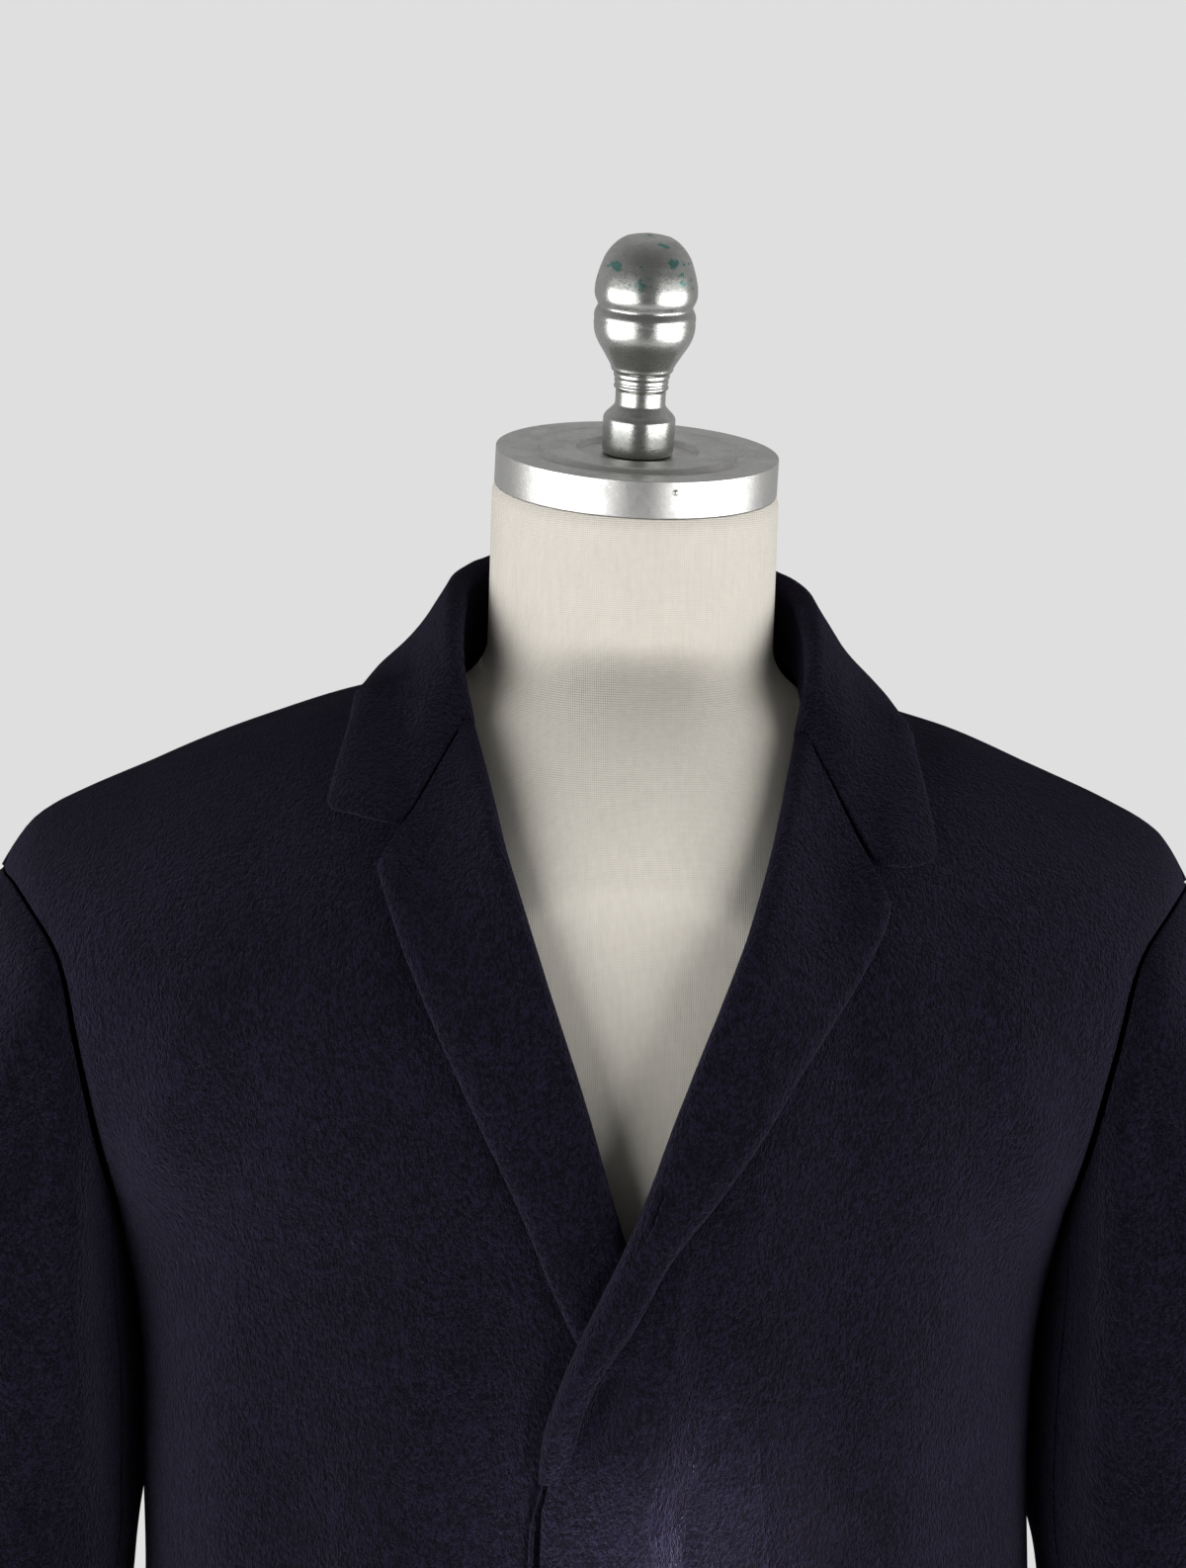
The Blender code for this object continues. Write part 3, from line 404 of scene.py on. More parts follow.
def roll_points(count, inset=0.0):
    """(x, z) up the roll line, moved across towards the lapel by inset."""
    z = np.linspace(BREAK_Z, ROLL["rows"][-1][0], count)
    x = read(ROLL, "x", z)
    along = unit(np.stack([np.gradient(x), np.gradient(z)], axis=-1))
    return np.stack([x + inset * along[:, 1], z - inset * along[:, 0]], axis=-1)


def panel_grid(left, right, top_x, top_z, side, lift):
    """A body panel between its (x, z) inner edge and its (angle, z) outer one."""
    inner = np.stack([round_angle(left[:, 0], left[:, 1]), left[:, 1]], axis=-1)
    columns = len(top_x)
    top = np.stack([round_angle(top_x, top_z), top_z], axis=-1)
    top[0], top[-1] = inner[-1], right[-1]
    share = np.linspace(0, 1, columns)[:, None]
    bottom = (1 - share) * inner[0] + share * right[0]
    weights = (inner[:, 1] - HEM_Z) / (inner[-1, 1] - HEM_Z)
    flat = patch(inner, right, bottom, top, weights)
    points = round_point(flat[..., 0], flat[..., 1], side)
    x, z = points[..., 0], points[..., 2]
    raised = surface(x, z, side, lift(x, z)) - surface(x, z, side)
    return points + np.where(lift(x, z)[..., None] > 1e-6, raised, 0)


def drawn_back(grid, edges, wall=WALL, more=0.0):
    """The grid with the named edges moved in along it, which leaves the seams open.

    Where the cloth goes on turning past the seam, the walls' inner sides come nearer to each other
    than their outer ones, so such an edge moves in further."""
    grid = grid.copy()
    for edge in edges:
        view = {
            "low": grid,
            "high": grid[::-1],
            "left": grid.swapaxes(0, 1),
            "right": grid.swapaxes(0, 1)[::-1],
        }[edge]
        first, second = unit(view[1] - view[0]), unit(view[2] - view[1])
        half_turn = np.linalg.norm(first - second, axis=-1, keepdims=True) / 2
        view[0] += first * (0.6 * SEAM + more + 1.25 * wall * half_turn)
    return grid


def shoulder_edge(start_x, count):
    """x and z along the ridge of the shoulder, out to the armhole."""
    x = np.linspace(start_x, ARMHOLE["rows"][0][1], count)
    return x, read(SHOULDER, "z", x)


def mirrored(grid, mirror):
    return grid * np.array([-1, 1, 1]) if mirror else grid


def back_top(count):
    """(x, z) along the neck seam from the centre back, and on down the shoulder."""
    neck = np.array([row[:2] for row in NECK_SEAM["rows"] if row[2] >= 0])[::-1]
    neck_count = count // 3
    neck = curve(neck, np.linspace(0, 1, neck_count + 1))[:-1]
    x, z = shoulder_edge(NECK_SEAM["rows"][2][0], count - neck_count)
    return np.concatenate([neck[:, 0], x]), np.concatenate([neck[:, 1], z])


def sleeve_rings():
    """The left sleeve's outer surface: a ring of points for each row, down from the armhole."""
    angle = np.arange(SLEEVE_STEPS + 1) * 360 / SLEEVE_STEPS
    half = np.where(angle > 180, 360 - angle, angle)
    side = np.where(angle > 180, 1, -1)
    x, z = read(ARMHOLE, "x", half), read(ARMHOLE, "z", half)
    y = np.where(side < 0, -depth(x, z, -1), depth(x, z, 1))
    y[half == 180] = 0
    armhole = np.stack([x, y, z], axis=-1)
    top_z = SLEEVE["rows"][-1][0]
    first = sleeve_ring(top_z, angle)
    turn = np.radians(angle)
    top = 0.6 * np.clip(np.cos(turn), 0, 1) ** 4
    outward = [0.62 + 0.38 * np.cos(turn), -0.42 * np.sin(turn), -0.45 - 0.45 * np.cos(turn) - top]
    outward = np.stack(outward, axis=-1)
    under = ((1 - np.cos(turn)) / 2)[:, None] ** 3
    outward = unit(unit(outward) * (1 - under) + np.array([0.15, 0, -1.0]) * under)
    start_reach = (0.008 + 0.037 * (np.cos(turn) * 0.5 + 0.5) ** 0.8)[:, None]
    end_reach = (0.006 + 0.104 * (np.cos(turn) * 0.5 + 0.5))[:, None]
    begin = armhole + outward * 2 * SEAM
    leave = begin + outward * start_reach
    arrive = first + np.array([0, 0, 1]) * end_reach
    rings = []
    for t in np.linspace(0, 1, CROWN_ROWS + 1) ** 1.1:
        rings.append(
            begin * (1 - t) ** 3
            + leave * 3 * t * (1 - t) ** 2
            + arrive * 3 * t * t * (1 - t)
            + first * t**3
        )
    cuff = SLEEVE["rows"][0][0]
    rings += [sleeve_ring(z, angle) for z in np.linspace(top_z, cuff, CUFF_ROWS)[1:]]
    return np.array(rings)


def sleeve_ring(z, angle):
    """One level ring of the sleeve, closed in a little where the body's side is next to it."""
    turn = np.radians(angle)
    across, along = read(SLEEVE, "across", z), read(SLEEVE, "along", z)
    middle = read(BODY, "width", z) + read(SLEEVE, "clear", z) + across
    tucked = ease(angle, 180, 196) * (1 - ease(angle, 205, 240)) * ease(z, 1.055, 1.080)
    x = middle + across * np.cos(turn) - SLEEVE_TUCK * tucked
    y = -read(SLEEVE, "forward", z) - along * np.sin(turn)
    return np.stack([x, y, np.full_like(turn, z)], axis=-1)


def fold_arc(middle, across, out, radius):
    """Points round a turned edge, from the side that lies behind to the one that shows."""
    turns = np.linspace(math.pi, 0, ARC_STEPS)[:, None]
    ways = np.cos(turns) * out[:, None] - np.sin(turns) * across[:, None]
    return middle[:, None] + np.reshape(radius, (-1, 1, 1)) * ways


def pushed_out(points, lift):
    """Points moved out where they lie nearer than lift to the body surface."""
    points = points.copy()
    for _ in range(6):
        x, y, z = points[..., 0], points[..., 1], points[..., 2]
        side = np.where(y > 0, 1.0, -1.0)

        def outside(x, z):
            return side * y - np.where(side < 0, depth(x, z, -1), depth(x, z, 1))

        across = (outside(x + SMALL, z) - outside(x - SMALL, z)) / (2 * SMALL)
        up = (outside(x, z + SMALL) - outside(x, z - SMALL)) / (2 * SMALL)
        slope = np.stack([across, side, up], axis=-1)
        steep = np.linalg.norm(slope, axis=-1)
        short = np.clip(lift - outside(x, z) / steep, 0, 0.01)
        points = points + unit(slope) * short[..., None]
    return points


def relaxed(points, times):
    """A grid with its inside, and its last column along its length, drawn smooth."""
    points = points.copy()
    for _ in range(times):
        inside = points[:-2, 1:-1] + points[2:, 1:-1] + points[1:-1, :-2] + points[1:-1, 2:]
        edge = points[:-2, -1] + points[2:, -1]
        points[1:-1, 1:-1] = 0.5 * points[1:-1, 1:-1] + 0.125 * inside
        points[1:-1, -1] = 0.5 * points[1:-1, -1] + 0.25 * edge
    return points


def on_body(row, lift):
    """A (x, z, side) row of a table as a point, raised from the body. side 0 is the ridge."""
    x, z, side = row
    if side == 0:
        return np.array([x, 0.0, z])
    return surface(x, z, side, lift)


def collar_grid():
    """Half of the collar, from the gorge seam to the centre back: stand, turned edge and leaf."""
    lift = FOLD_RADIUS - WALL / 2
    along = np.linspace(0, 1, COLLAR_HALF + 1)
    lapel_frame = [part[-1] for part in fold_rows(*lapel_rows("right")[:2], no_lift)]
    crease = curve([lapel_frame[0], *CREASE["rows"]], along)
    outer = curve([on_body(row, lift) for row in LEAF_EDGE["rows"]], along)
    seam = curve([on_body(row, 0.0) for row in NECK_SEAM["rows"]], along)
    inward = unit(seam * np.array([1, 1, 0])) * -1
    seam = seam + inward * 1.65 * WALL + np.array([0, 0, 5 * SEAM])
    tangent = unit(np.gradient(crease, axis=0))
    tangent[-1] = (-1, 0, 0)
    across = outer - crease
    across = unit(across - tangent * (across * tangent).sum(-1, keepdims=True))
    out = unit(np.cross(across, tangent))
    away = (out * (crease * np.array([1, 1, 0]))).sum(-1, keepdims=True)
    out = out * np.sign(away)
    own = ease(along, 0, 0.3)[:, None]
    across = across * own + lapel_frame[1] * (1 - own)
    out = out * own + lapel_frame[2] * (1 - own)
    arc = fold_arc(crease + across * FOLD_RADIUS, unit(across), unit(out), FOLD_RADIUS)
    out = unit(out)
    share = np.linspace(0, 1, COLLAR_LEAF + 1)
    gorge_x, gorge_z = broken_line(GORGE["rows"], share).T
    gorge = surface(gorge_x, gorge_z, -1, lift)
    gorge[0] = arc[0, -1]
    back = arc[-1, -1] * (1 - share[:, None]) + outer[-1] * share[:, None]
    leaf = patch(arc[:, -1], outer, gorge, back, 1 - (1 - along) ** 3)
    belly = LEAF_BELLY * np.exp(-(((along - 0.42) / 0.16) ** 2))[:, None] * np.sin(np.pi * share)
    leaf = leaf + out[:, None] * belly[..., None]
    for _ in range(8):
        leaf = pushed_out(relaxed(leaf, 14), lift + SEAM)
        leaf[:, 0] = arc[:, -1]
    leaf = relaxed(leaf, 3)
    share = np.linspace(0, 1, STAND_STEPS + 1)[None, :-1, None]
    stand = seam[:, None] * (1 - share) + arc[:, :1] * share
    return np.concatenate([stand, arc, leaf[:, 1:]], axis=1)


def cap_place():
    """The neck cap's frame: on the neck's sloping top, leaning forward with it."""
    lean = Matrix.Rotation(NECK_TILT, 4, "X") @ Matrix.Rotation(NECK_LEAN, 4, "Y")
    return Matrix.Translation((0, 0, NECK_TOP_Z + SEAM / math.cos(NECK_TILT))) @ lean


def no_lift(x, z):
    return np.zeros_like(np.asarray(x, float) + np.asarray(z, float))


# ---------------------------------------------------------------- cloth shells

# Each edge of a grid, and the line beside it.
EDGE_LINE = {
    "left": (np.s_[:, 0], np.s_[:, 1]),
    "right": (np.s_[:, -1], np.s_[:, -2]),
    "low": (np.s_[0], np.s_[1]),
    "high": (np.s_[-1], np.s_[-2]),
}


def resampled(grid, lines_start, lines_end, spacing):
    """The grid with its columns at fixed distances from both ends and evenly spaced between.

    The first three channels are the place. Two more are added: the distances from both ends."""
    steps = np.linalg.norm(np.diff(grid[..., :3], axis=1), axis=-1)
    run = np.concatenate([np.zeros((len(grid), 1)), np.cumsum(steps, axis=1)], axis=1)
    total = run[:, -1]
    start, end = np.array(lines_start), np.array(lines_end)
    middle = max(int((total.max() - start[-1] - end[-1]) / spacing), 2)
    out = []
    for row, distance, length in zip(grid, run, total):
        squeeze = min(1.0, length / (1.6 * (start[-1] + end[-1] + 0.002)))
        a, b = start * squeeze, length - end[::-1] * squeeze
        at = np.concatenate([a, np.linspace(a[-1], b[0], middle + 1)[1:-1], b])
        columns = [np.interp(at, distance, column) for column in row.T]
        out.append(np.stack([*columns, at, length - at], axis=-1))
    return np.array(out)


def spaced(grid, ways, across=0.0055, along=0.0065):
    """A grid resampled both ways, and the distances from its edges. ways names each edge free
    or seam."""
    lines = {"free": EDGE_LINES, "seam": SEAM_LINES}
    grid = resampled(grid, lines[ways["left"]], lines[ways["right"]], across)
    turned_grid = grid.swapaxes(0, 1)
    whole = resampled(turned_grid, lines[ways["low"]], lines[ways["high"]], along)
    whole = whole.swapaxes(0, 1)
    edges = {"left": -4, "right": -3, "low": -2, "high": -1}
    return whole[..., :-4], {edge: whole[..., k] for edge, k in edges.items()}


def normals_of(grid):
    """The unit normals of a grid of points."""
    out = np.cross(np.gradient(grid, axis=1), np.gradient(grid, axis=0))
    return out / np.maximum(np.linalg.norm(out, axis=-1, keepdims=True), 1e-12)


def smoothed(values):
    """A grid of vectors averaged with its neighbours, ends kept."""
    values = values.copy()
    values[1:-1] = (values[:-2] + 2 * values[1:-1] + values[2:]) / 4
    values[:, 1:-1] = (values[:, :-2] + 2 * values[:, 1:-1] + values[:, 2:]) / 4
    return values


def quads(ids):
    """The corners of each face of a grid of vertex numbers."""
    corners = [ids[:-1, :-1], ids[:-1, 1:], ids[1:, 1:], ids[1:, :-1]]
    return np.stack(corners, axis=-1).reshape(-1, 4)


def closed(ids):
    """A grid of vertex numbers that goes all the way round."""
    return np.concatenate([ids, ids[:, :1]], axis=1)


def shell(name, grid, facing, at, ways, relief, wall=WALL):
    """A closed wall of wool behind a grid of outer points, with its edges rounded over.

    facing is roughly the way that the outer side looks at the given place, and relief is how far
    each point stands out. A free edge is a full half circle, and a seam is rounded only slightly,
    so that its neighbour lies close. Gives the piece, and the grid that it was built on."""
    rows, columns = grid.shape[:2]
    normal = normals_of(grid)
    if normal[int(at[0] * (rows - 1)), int(at[1] * (columns - 1))] @ np.asarray(facing, float) < 0:
        normal = -normal
    wall = np.broadcast_to(np.asarray(wall, float), (rows, columns))[..., None]
    outer = grid + normal * relief[..., None]
    fresh = normals_of(outer)
    normal = unit(smoothed(fresh * np.sign((fresh * normal).sum(-1, keepdims=True))))
    outward = np.zeros_like(grid)
    swell = np.ones((rows, columns, 1))
    for edge, (line, beside) in EDGE_LINE.items():
        outward[line] += unit(outer[line] - outer[beside]) * TUCK[ways[edge]]
        if ways[edge] == "seam":
            swell[line] = SEAM_SWELL
    for edge, (line, beside) in EDGE_LINE.items():
        if ways[edge] == "free":  # also at a corner with a seam
            swell[line] = 1.0
    outward -= normal * (outward * normal).sum(-1, keepdims=True)
    base = outer - outward * wall
    outward = outward * swell
    ids = np.arange(rows * columns).reshape(rows, columns)
    ring = np.concatenate([ids[0], ids[1:, -1], ids[-1, -2::-1], ids[-2:0:-1, 0]])
    parts = (part.reshape(ids.size, -1)[ring] for part in (base, wall, outward, normal))
    rim, thick, beyond, behind = parts
    loops = []
    for turn in (0.2 * math.pi, 0.5 * math.pi, 0.8 * math.pi):
        round_over = beyond * math.sin(turn) - behind * (0.5 - 0.5 * math.cos(turn))
        loops.append(rim + thick * round_over)
    vertices = np.concatenate([base.reshape(-1, 3), (base - normal * wall).reshape(-1, 3), *loops])
    front = quads(ids)
    lines = 2 * ids.size + np.arange(3 * len(ring)).reshape(3, -1)
    edge = quads(closed(np.stack([ring, *lines, ring + ids.size])))
    if np.cross(base[0, 1] - base[0, 0], base[1, 0] - base[0, 0]) @ normal[0, 0] > 0:
        faces = [front, front[:, ::-1] + ids.size, edge[:, ::-1]]
    else:
        faces = [front[:, ::-1], front + ids.size, edge]
    return quad_piece(name, vertices, np.concatenate(faces), "wool"), grid


def placed(name, mesh, slot, sharp=None):
    """A mesh as a piece of the object, smooth but for edges over the sharp angle in degrees."""
    mesh.validate()
    mesh.shade_smooth()
    if sharp is not None:
        mesh.set_sharp_from_angle(angle=math.radians(sharp))
    made = bpy.data.objects.new(name, mesh)
    bpy.context.scene.collection.objects.link(made)
    made.data.materials.append(MATERIALS[slot])
    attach(made, "root")
    return made


def quad_piece(name, vertices, faces, slot):
    """A piece from arrays of points and four-cornered faces."""
    mesh = bpy.data.meshes.new(name)
    mesh.vertices.add(len(vertices))
    mesh.vertices.foreach_set("co", np.asarray(vertices, np.float32).ravel())
    mesh.loops.add(faces.size)
    mesh.loops.foreach_set("vertex_index", np.asarray(faces, np.int32).ravel())
    mesh.polygons.add(len(faces))
    mesh.polygons.foreach_set("loop_start", np.arange(len(faces), dtype=np.int32) * 4)
    mesh.update(calc_edges=True)
    return placed(name, mesh, slot)


def plain_piece(name, vertices, faces, slot, sharp):
    """A piece from lists of points and faces with any number of corners."""
    mesh = bpy.data.meshes.new(name)
    mesh.from_pydata(vertices, [], faces)
    return placed(name, mesh, slot, sharp)


def bump(value, centre, width):
    """A soft ridge of height 1."""
    return np.exp(-(((value - centre) / width) ** 2))


def ridge(value, height, centre, width):
    return height * bump(value, centre, width)


def edge_relief(distance):
    """A free edge: a soft proud roll, then the sunk line of its stitching."""
    return ridge(distance, *FREE_EDGE) - ridge(distance, *STITCH_LINE)


def rolled_edge(distance, height, reach):
    """Thick cloth that stands off what it lies on and rounds over to its free edge."""
    near = np.clip(distance / reach, 0, 1)
    return height * (np.sqrt(near * (2 - near)) - ease(distance, reach, 4.5 * reach))


def fade_in(distance, width):
    return ease(distance, 0.002, width)


# ---------------------------------------------------------------- materials

BACKGROUND = 0.738  # linear grey of the plain studio ground
ROOM = 0.11  # what the room round it gives
MIRRORED = (0.15, 0.42)  # what polished metal sees of the room in front and behind


class Nodes:
    """Adds nodes to one material. An input is a number, a colour or another node's output."""

    def __init__(self, name):
        self.material = bpy.data.materials.new(name)
        self.material.use_nodes = True
        self.tree = self.material.node_tree
        self.shader = self.tree.nodes["Principled BSDF"]
        place = self.tree.nodes.new("ShaderNodeTexCoord")
        self.place = place.outputs["Object"]

    def put(self, socket, value):
        if isinstance(value, bpy.types.NodeSocket):
            self.tree.links.new(value, socket)
        else:
            socket.default_value = value

    def add(self, kind, inputs, output=0, **settings):
        node = self.tree.nodes.new("ShaderNode" + kind)
        for key, value in settings.items():
            setattr(node, key, value)
        for key, value in inputs.items():
            self.put(node.inputs[key], value)
        return node.outputs[output]

    def math(self, operation, a, b=0.0):
        return self.add("Math", {0: a, 1: b}, operation=operation)

    def stretched(self, scale, turn=(0, 0, 0)):
        return self.add("Mapping", {"Vector": self.place, "Rotation": turn, "Scale": scale})

    def noise(self, vector, scale, detail=3.0, rough=0.6, lacunarity=2.1):
        sockets = {"Vector": vector, "Scale": scale, "Detail": detail, "Roughness": rough}
        return self.add("TexNoise", {**sockets, "Lacunarity": lacunarity})

    def ranged(self, value, low, high, start=0.0, end=1.0):
        sockets = {"Value": value, "From Min": low, "From Max": high}
        return self.add("MapRange", {**sockets, "To Min": start, "To Max": end})

    def mixed(self, share, a, b):
        node = self.tree.nodes.new("ShaderNodeMix")
        node.data_type = "RGBA"
        self.put(node.inputs["Factor"], share)
        self.put(node.inputs[6], a)
        self.put(node.inputs[7], b)
        return node.outputs[2]

    def weighted(self, *pairs):
        total = None
        for value, weight in pairs:
            part = self.math("MULTIPLY", value, weight)
            total = part if total is None else self.math("ADD", total, part)
        return total

    def surface(self, **inputs):
        for key, value in inputs.items():
            self.put(self.shader.inputs[key.replace("_", " ")], value)

    def bumped(self, height, distance, strength=1.0):
        sockets = {"Height": height, "Distance": distance, "Strength": strength}
        self.put(self.shader.inputs["Normal"], self.add("Bump", sockets))


def wool_material():
    """Brushed midnight-blue wool: a short felted nap laid downwards, with stray pale fibres."""
    n = Nodes("wool")
    nap = n.stretched((1.0, 1.0, 0.62), (0, math.radians(12), 0))
    slow = n.noise(n.place, 26, 2)
    blot = n.noise(nap, 210, 2, 0.5)
    lay = n.noise(nap, 640, 2, 0.65)
    hair = n.noise(n.stretched((1.0, 1.0, 0.35), (0, math.radians(-20), 0)), 1500, 2, 0.7)
    tone = n.weighted((slow, 0.10), (blot, 0.16), (lay, 0.50), (hair, 0.34))
    tone = n.ranged(tone, 0.500, 0.645)
    colour = n.mixed(tone, (0.0002, 0.0001, 0.0012, 1), (0.0096, 0.0080, 0.0215, 1))
    strand = n.noise(n.stretched((1, 1, 1), (0.4, 0.3, 0)), 95, 2, 0.4)
    line = n.ranged(n.math("ABSOLUTE", n.math("SUBTRACT", strand, 0.5)), 0.0, 0.0022, 1, 0)
    where = n.ranged(n.noise(n.place, 60, 1, 0.5), 0.66, 0.70)
    colour = n.mixed(n.math("MULTIPLY", line, where), colour, (0.060, 0.057, 0.085, 1))
    n.surface(Base_Color=colour, Roughness=0.95, Sheen_Weight=0.10, Sheen_Roughness=0.50)
    n.surface(Sheen_Tint=(0.62, 0.56, 0.92, 1), Specular_IOR_Level=0.06)
    height = n.weighted((blot, 0.25), (lay, 0.60), (hair, 0.30))
    n.bumped(height, 0.0065, 1.0)
    return n.material


def canvas_material():
    """Undyed canvas, plain woven and a little uneven."""
    n = Nodes("canvas")
    thread = {"Scale": 330.0, "Distortion": 1.2, "Detail": 2.0, "Detail Scale": 1.5}
    thread["Vector"] = n.place
    warp, weft = (n.add("TexWave", thread, bands_direction=way) for way in "XZ")
    weave = n.weighted((warp, 0.5), (weft, 0.5))
    slub = n.noise(n.stretched((1, 1, 0.15)), 420, 3, 0.6)
    slow = n.noise(n.place, 28, 3, 0.6)
    tone = n.weighted((weave, 0.35), (slub, 0.40), (slow, 0.25))
    colour = n.mixed(tone, (0.590, 0.549, 0.478, 1), (0.885, 0.842, 0.765, 1))
    n.surface(Base_Color=colour, Roughness=0.88, Sheen_Weight=0.12, Specular_IOR_Level=0.2)
    height = n.weighted((weave, 0.5), (slub, 0.5), (slow, 0.8))
    n.bumped(height, 0.0010, 0.5)
    return n.material


def metal_material(name, low, high, rough, turning=1.0, green_above=None):
    """Turned metal: fine rings round the cap's axis, slow clouding, and a few green marks where
    the metal lies above the height that is given."""
    n = Nodes(name)
    level = n.add("Mapping", {"Vector": n.place, "Rotation": (-NECK_TILT, -NECK_LEAN, 0)})
    x, y, z = n.add("SeparateXYZ", {"Vector": level}).node.outputs
    radius = n.math("SQRT", n.math("ADD", n.math("MULTIPLY", x, x), n.math("MULTIPLY", y, y)))
    rings = n.add("CombineXYZ", {"X": radius, "Y": z, "Z": 0.0})
    ring = n.noise(rings, 1700, 3, 0.7)
    cloud = n.noise(n.place, 62, 4, 0.65)
    speck = n.noise(n.place, 420, 3, 0.7)
    tone = n.ranged(n.weighted((ring, 0.22 * turning), (cloud, 0.5), (speck, 0.28)), 0.32, 0.66)
    colour = n.mixed(tone, low, high)
    if green_above is not None:
        mark = n.ranged(n.noise(n.stretched((1, 1, 1.6)), 105, 2, 0.5), 0.615, 0.650)
        height = n.add("SeparateXYZ", {"Vector": n.place}, 2)
        height = n.ranged(height, green_above, green_above + 0.008)
        colour = n.mixed(n.math("MULTIPLY", mark, height), colour, (0.17, 0.34, 0.31, 1))
    dull = n.ranged(n.weighted((cloud, 0.6), (speck, 0.4)), 0.35, 0.65, rough + 0.10, rough - 0.06)
    n.surface(Base_Color=colour, Metallic=1.0, Roughness=dull)
    n.bumped(n.weighted((ring, 0.6 * turning), (speck, 0.4)), 0.00025, 0.5)
    return n.material


def floor_material():
    """A pale floor that goes over into the even ground behind it."""
    n = Nodes("floor_pale")
    dust = n.noise(n.place, 3.0, 2)
    colour = n.mixed(dust, (0.735, 0.735, 0.735, 1), (0.755, 0.755, 0.755, 1))
    far = n.add("VectorMath", {0: n.place}, 1, operation="LENGTH")
    n.surface(Base_Color=colour, Roughness=0.9, Specular_IOR_Level=0.0)
    n.surface(Alpha=n.ranged(far, 1.4, 2.9, 1, 0))
    return n.material


# Each metal's dark and light colour and its roughness; then, where they aren't the usual ones, how
# strong its turned rings are and the height from which it has green marks.
METALS = {
    "aluminium": ((0.46, 0.455, 0.44, 1), (0.66, 0.655, 0.64, 1), 0.36),
    "patina_metal": ((0.38, 0.388, 0.365, 1), (0.66, 0.665, 0.645, 1), 0.25, 0.5, 1.640),
    "stand_metal": ((0.30, 0.30, 0.31, 1), (0.48, 0.48, 0.49, 1), 0.42),
}
MATERIALS = {"wool": wool_material(), "canvas": canvas_material()}
MATERIALS.update({name: metal_material(name, *look) for name, look in METALS.items()})


# ---------------------------------------------------------------- the coat's panels

# The left lapel's tail below the break, where it thins out into the front's edge: its fold, and its
# outer edge as (z, x) points.
ROLL_TAIL = {
    "columns": ("z", "x"),
    "rows": (
        (1.122, -0.0341), (1.13, -0.0337), (1.137, -0.0331), (1.144, -0.0321), (1.15, -0.0308),
    ),
}
TAIL_EDGE = ((1.122, -0.0255), (1.13, -0.0224), (1.1405, -0.0192), (1.153, -0.0168))
TAIL_ROWS = 18

# The soft folds of a front, by the side it is on, and of a back: each one's height, the x of its
# middle, its half width, and the heights between which it grows out of the flat as it goes down.
FOLDS = {
    "left": (
        (0.0052, 0.006, 0.0165, 1.175, 1.135), (0.0011, -0.02, 0.012, 1.14, 1.126),
        (-0.0048, 0.027, 0.0068, 1.15, 1.1), (-0.0022, 0.047, 0.015, 1.2, 1.12),
        (0.0042, 0.115, 0.034, 1.26, 1.14), (-0.0026, 0.165, 0.02, 1.2, 1.06),
    ),
    "right": (
        (-0.0044, 0.057, 0.02, 1.27, 1.12), (0.0032, 0.104, 0.022, 1.22, 1.1),
        (-0.002, 0.139, 0.016, 1.18, 1.05), (0.003, 0.172, 0.018, 1.25, 1.12),
    ),
    "back": (
        (0.0028, 0.075, 0.022, 1.12, 0.95), (-0.0024, 0.118, 0.018, 1.12, 0.95),
        (0.002, 0.165, 0.02, 1.12, 0.95),
    ),
}

# The soft folds of a sleeve: each one's height, and the middle and half width of it in degrees
# round the sleeve (0 is outside, 90 the front) and in height.
SLEEVE_FOLDS = (
    (-0.0062, 92, 12, 1.262, 0.055), (0.0034, 66, 13, 1.24, 0.085), (0.0034, -62, 14, 1.2, 0.1),
    (-0.0038, -92, 12, 1.24, 0.08),
)
ELBOW_CREASES = ((1.015, 0.00045, 1.0), (0.965, 0.00030, 0.8), (0.905, 0.00055, 0.6))


# How high each rolled edge stands off what it lies on, and how far in it has rounded over.
EDGE_ROLLS = {
    "front": (0.0014, 0.0065),
    "lapel": (0.0032, 0.0085),
    "lapel_top": (0.0016, 0.0070),
    "collar": (0.0030, 0.0085),
    "collar_end": (0.0022, 0.0075),
}
FREE_EDGE = (0.0006, 0.0024, 0.0026)  # a free edge's proud roll: height, distance in, half width
STITCH_LINE = (0.00022, STITCH, 0.0011)  # the sunk line of its stitching, the same way


def tail_share(z):
    """1 where the left lapel is at its full thickness, and less down its tail."""
    return 0.40 + 0.60 * ease(z, 1.116, 1.165)


def front_edge(tail):
    """(x, z) up a front's edge, along behind the roll line and up the neck seam."""
    z = np.linspace(HEM_Z, BREAK_Z - 0.0025, LOW_ROWS)
    if tail:
        behind = read(ROLL_TAIL, "x", z) + FOLD_RADIUS * tail_share(z) + 0.0012
        low_x = -FRONT_OVERLAP + (behind + FRONT_OVERLAP) * ease(z, 1.108, 1.122)
    else:
        low_x = -FRONT_OVERLAP + 0.0090 * ease(z, 1.095, BREAK_Z)
    roll = roll_points(40, FOLD_RADIUS + 0.0020)
    roll[-1] = NECK_SEAM["rows"][0][:2]
    neck = [row[:2] for row in NECK_SEAM["rows"][1:3]]
    lower = np.stack([low_x, z], axis=-1)
    upper = np.concatenate([lower[-1:], roll[1:], neck])
    share = 1 - (1 - np.linspace(0, 1, HIGH_ROWS)) ** TOP_POWER
    return np.concatenate([lower, curve(upper, share)[1:]])


def folds(name, x, z):
    """The height of a panel's soft folds. x is positive on its own side."""
    total = 0
    for height, middle, width, start, full in FOLDS[name]:
        total = total + height * bump(x, middle, width) * ease(-z, -start, -full)
    return total


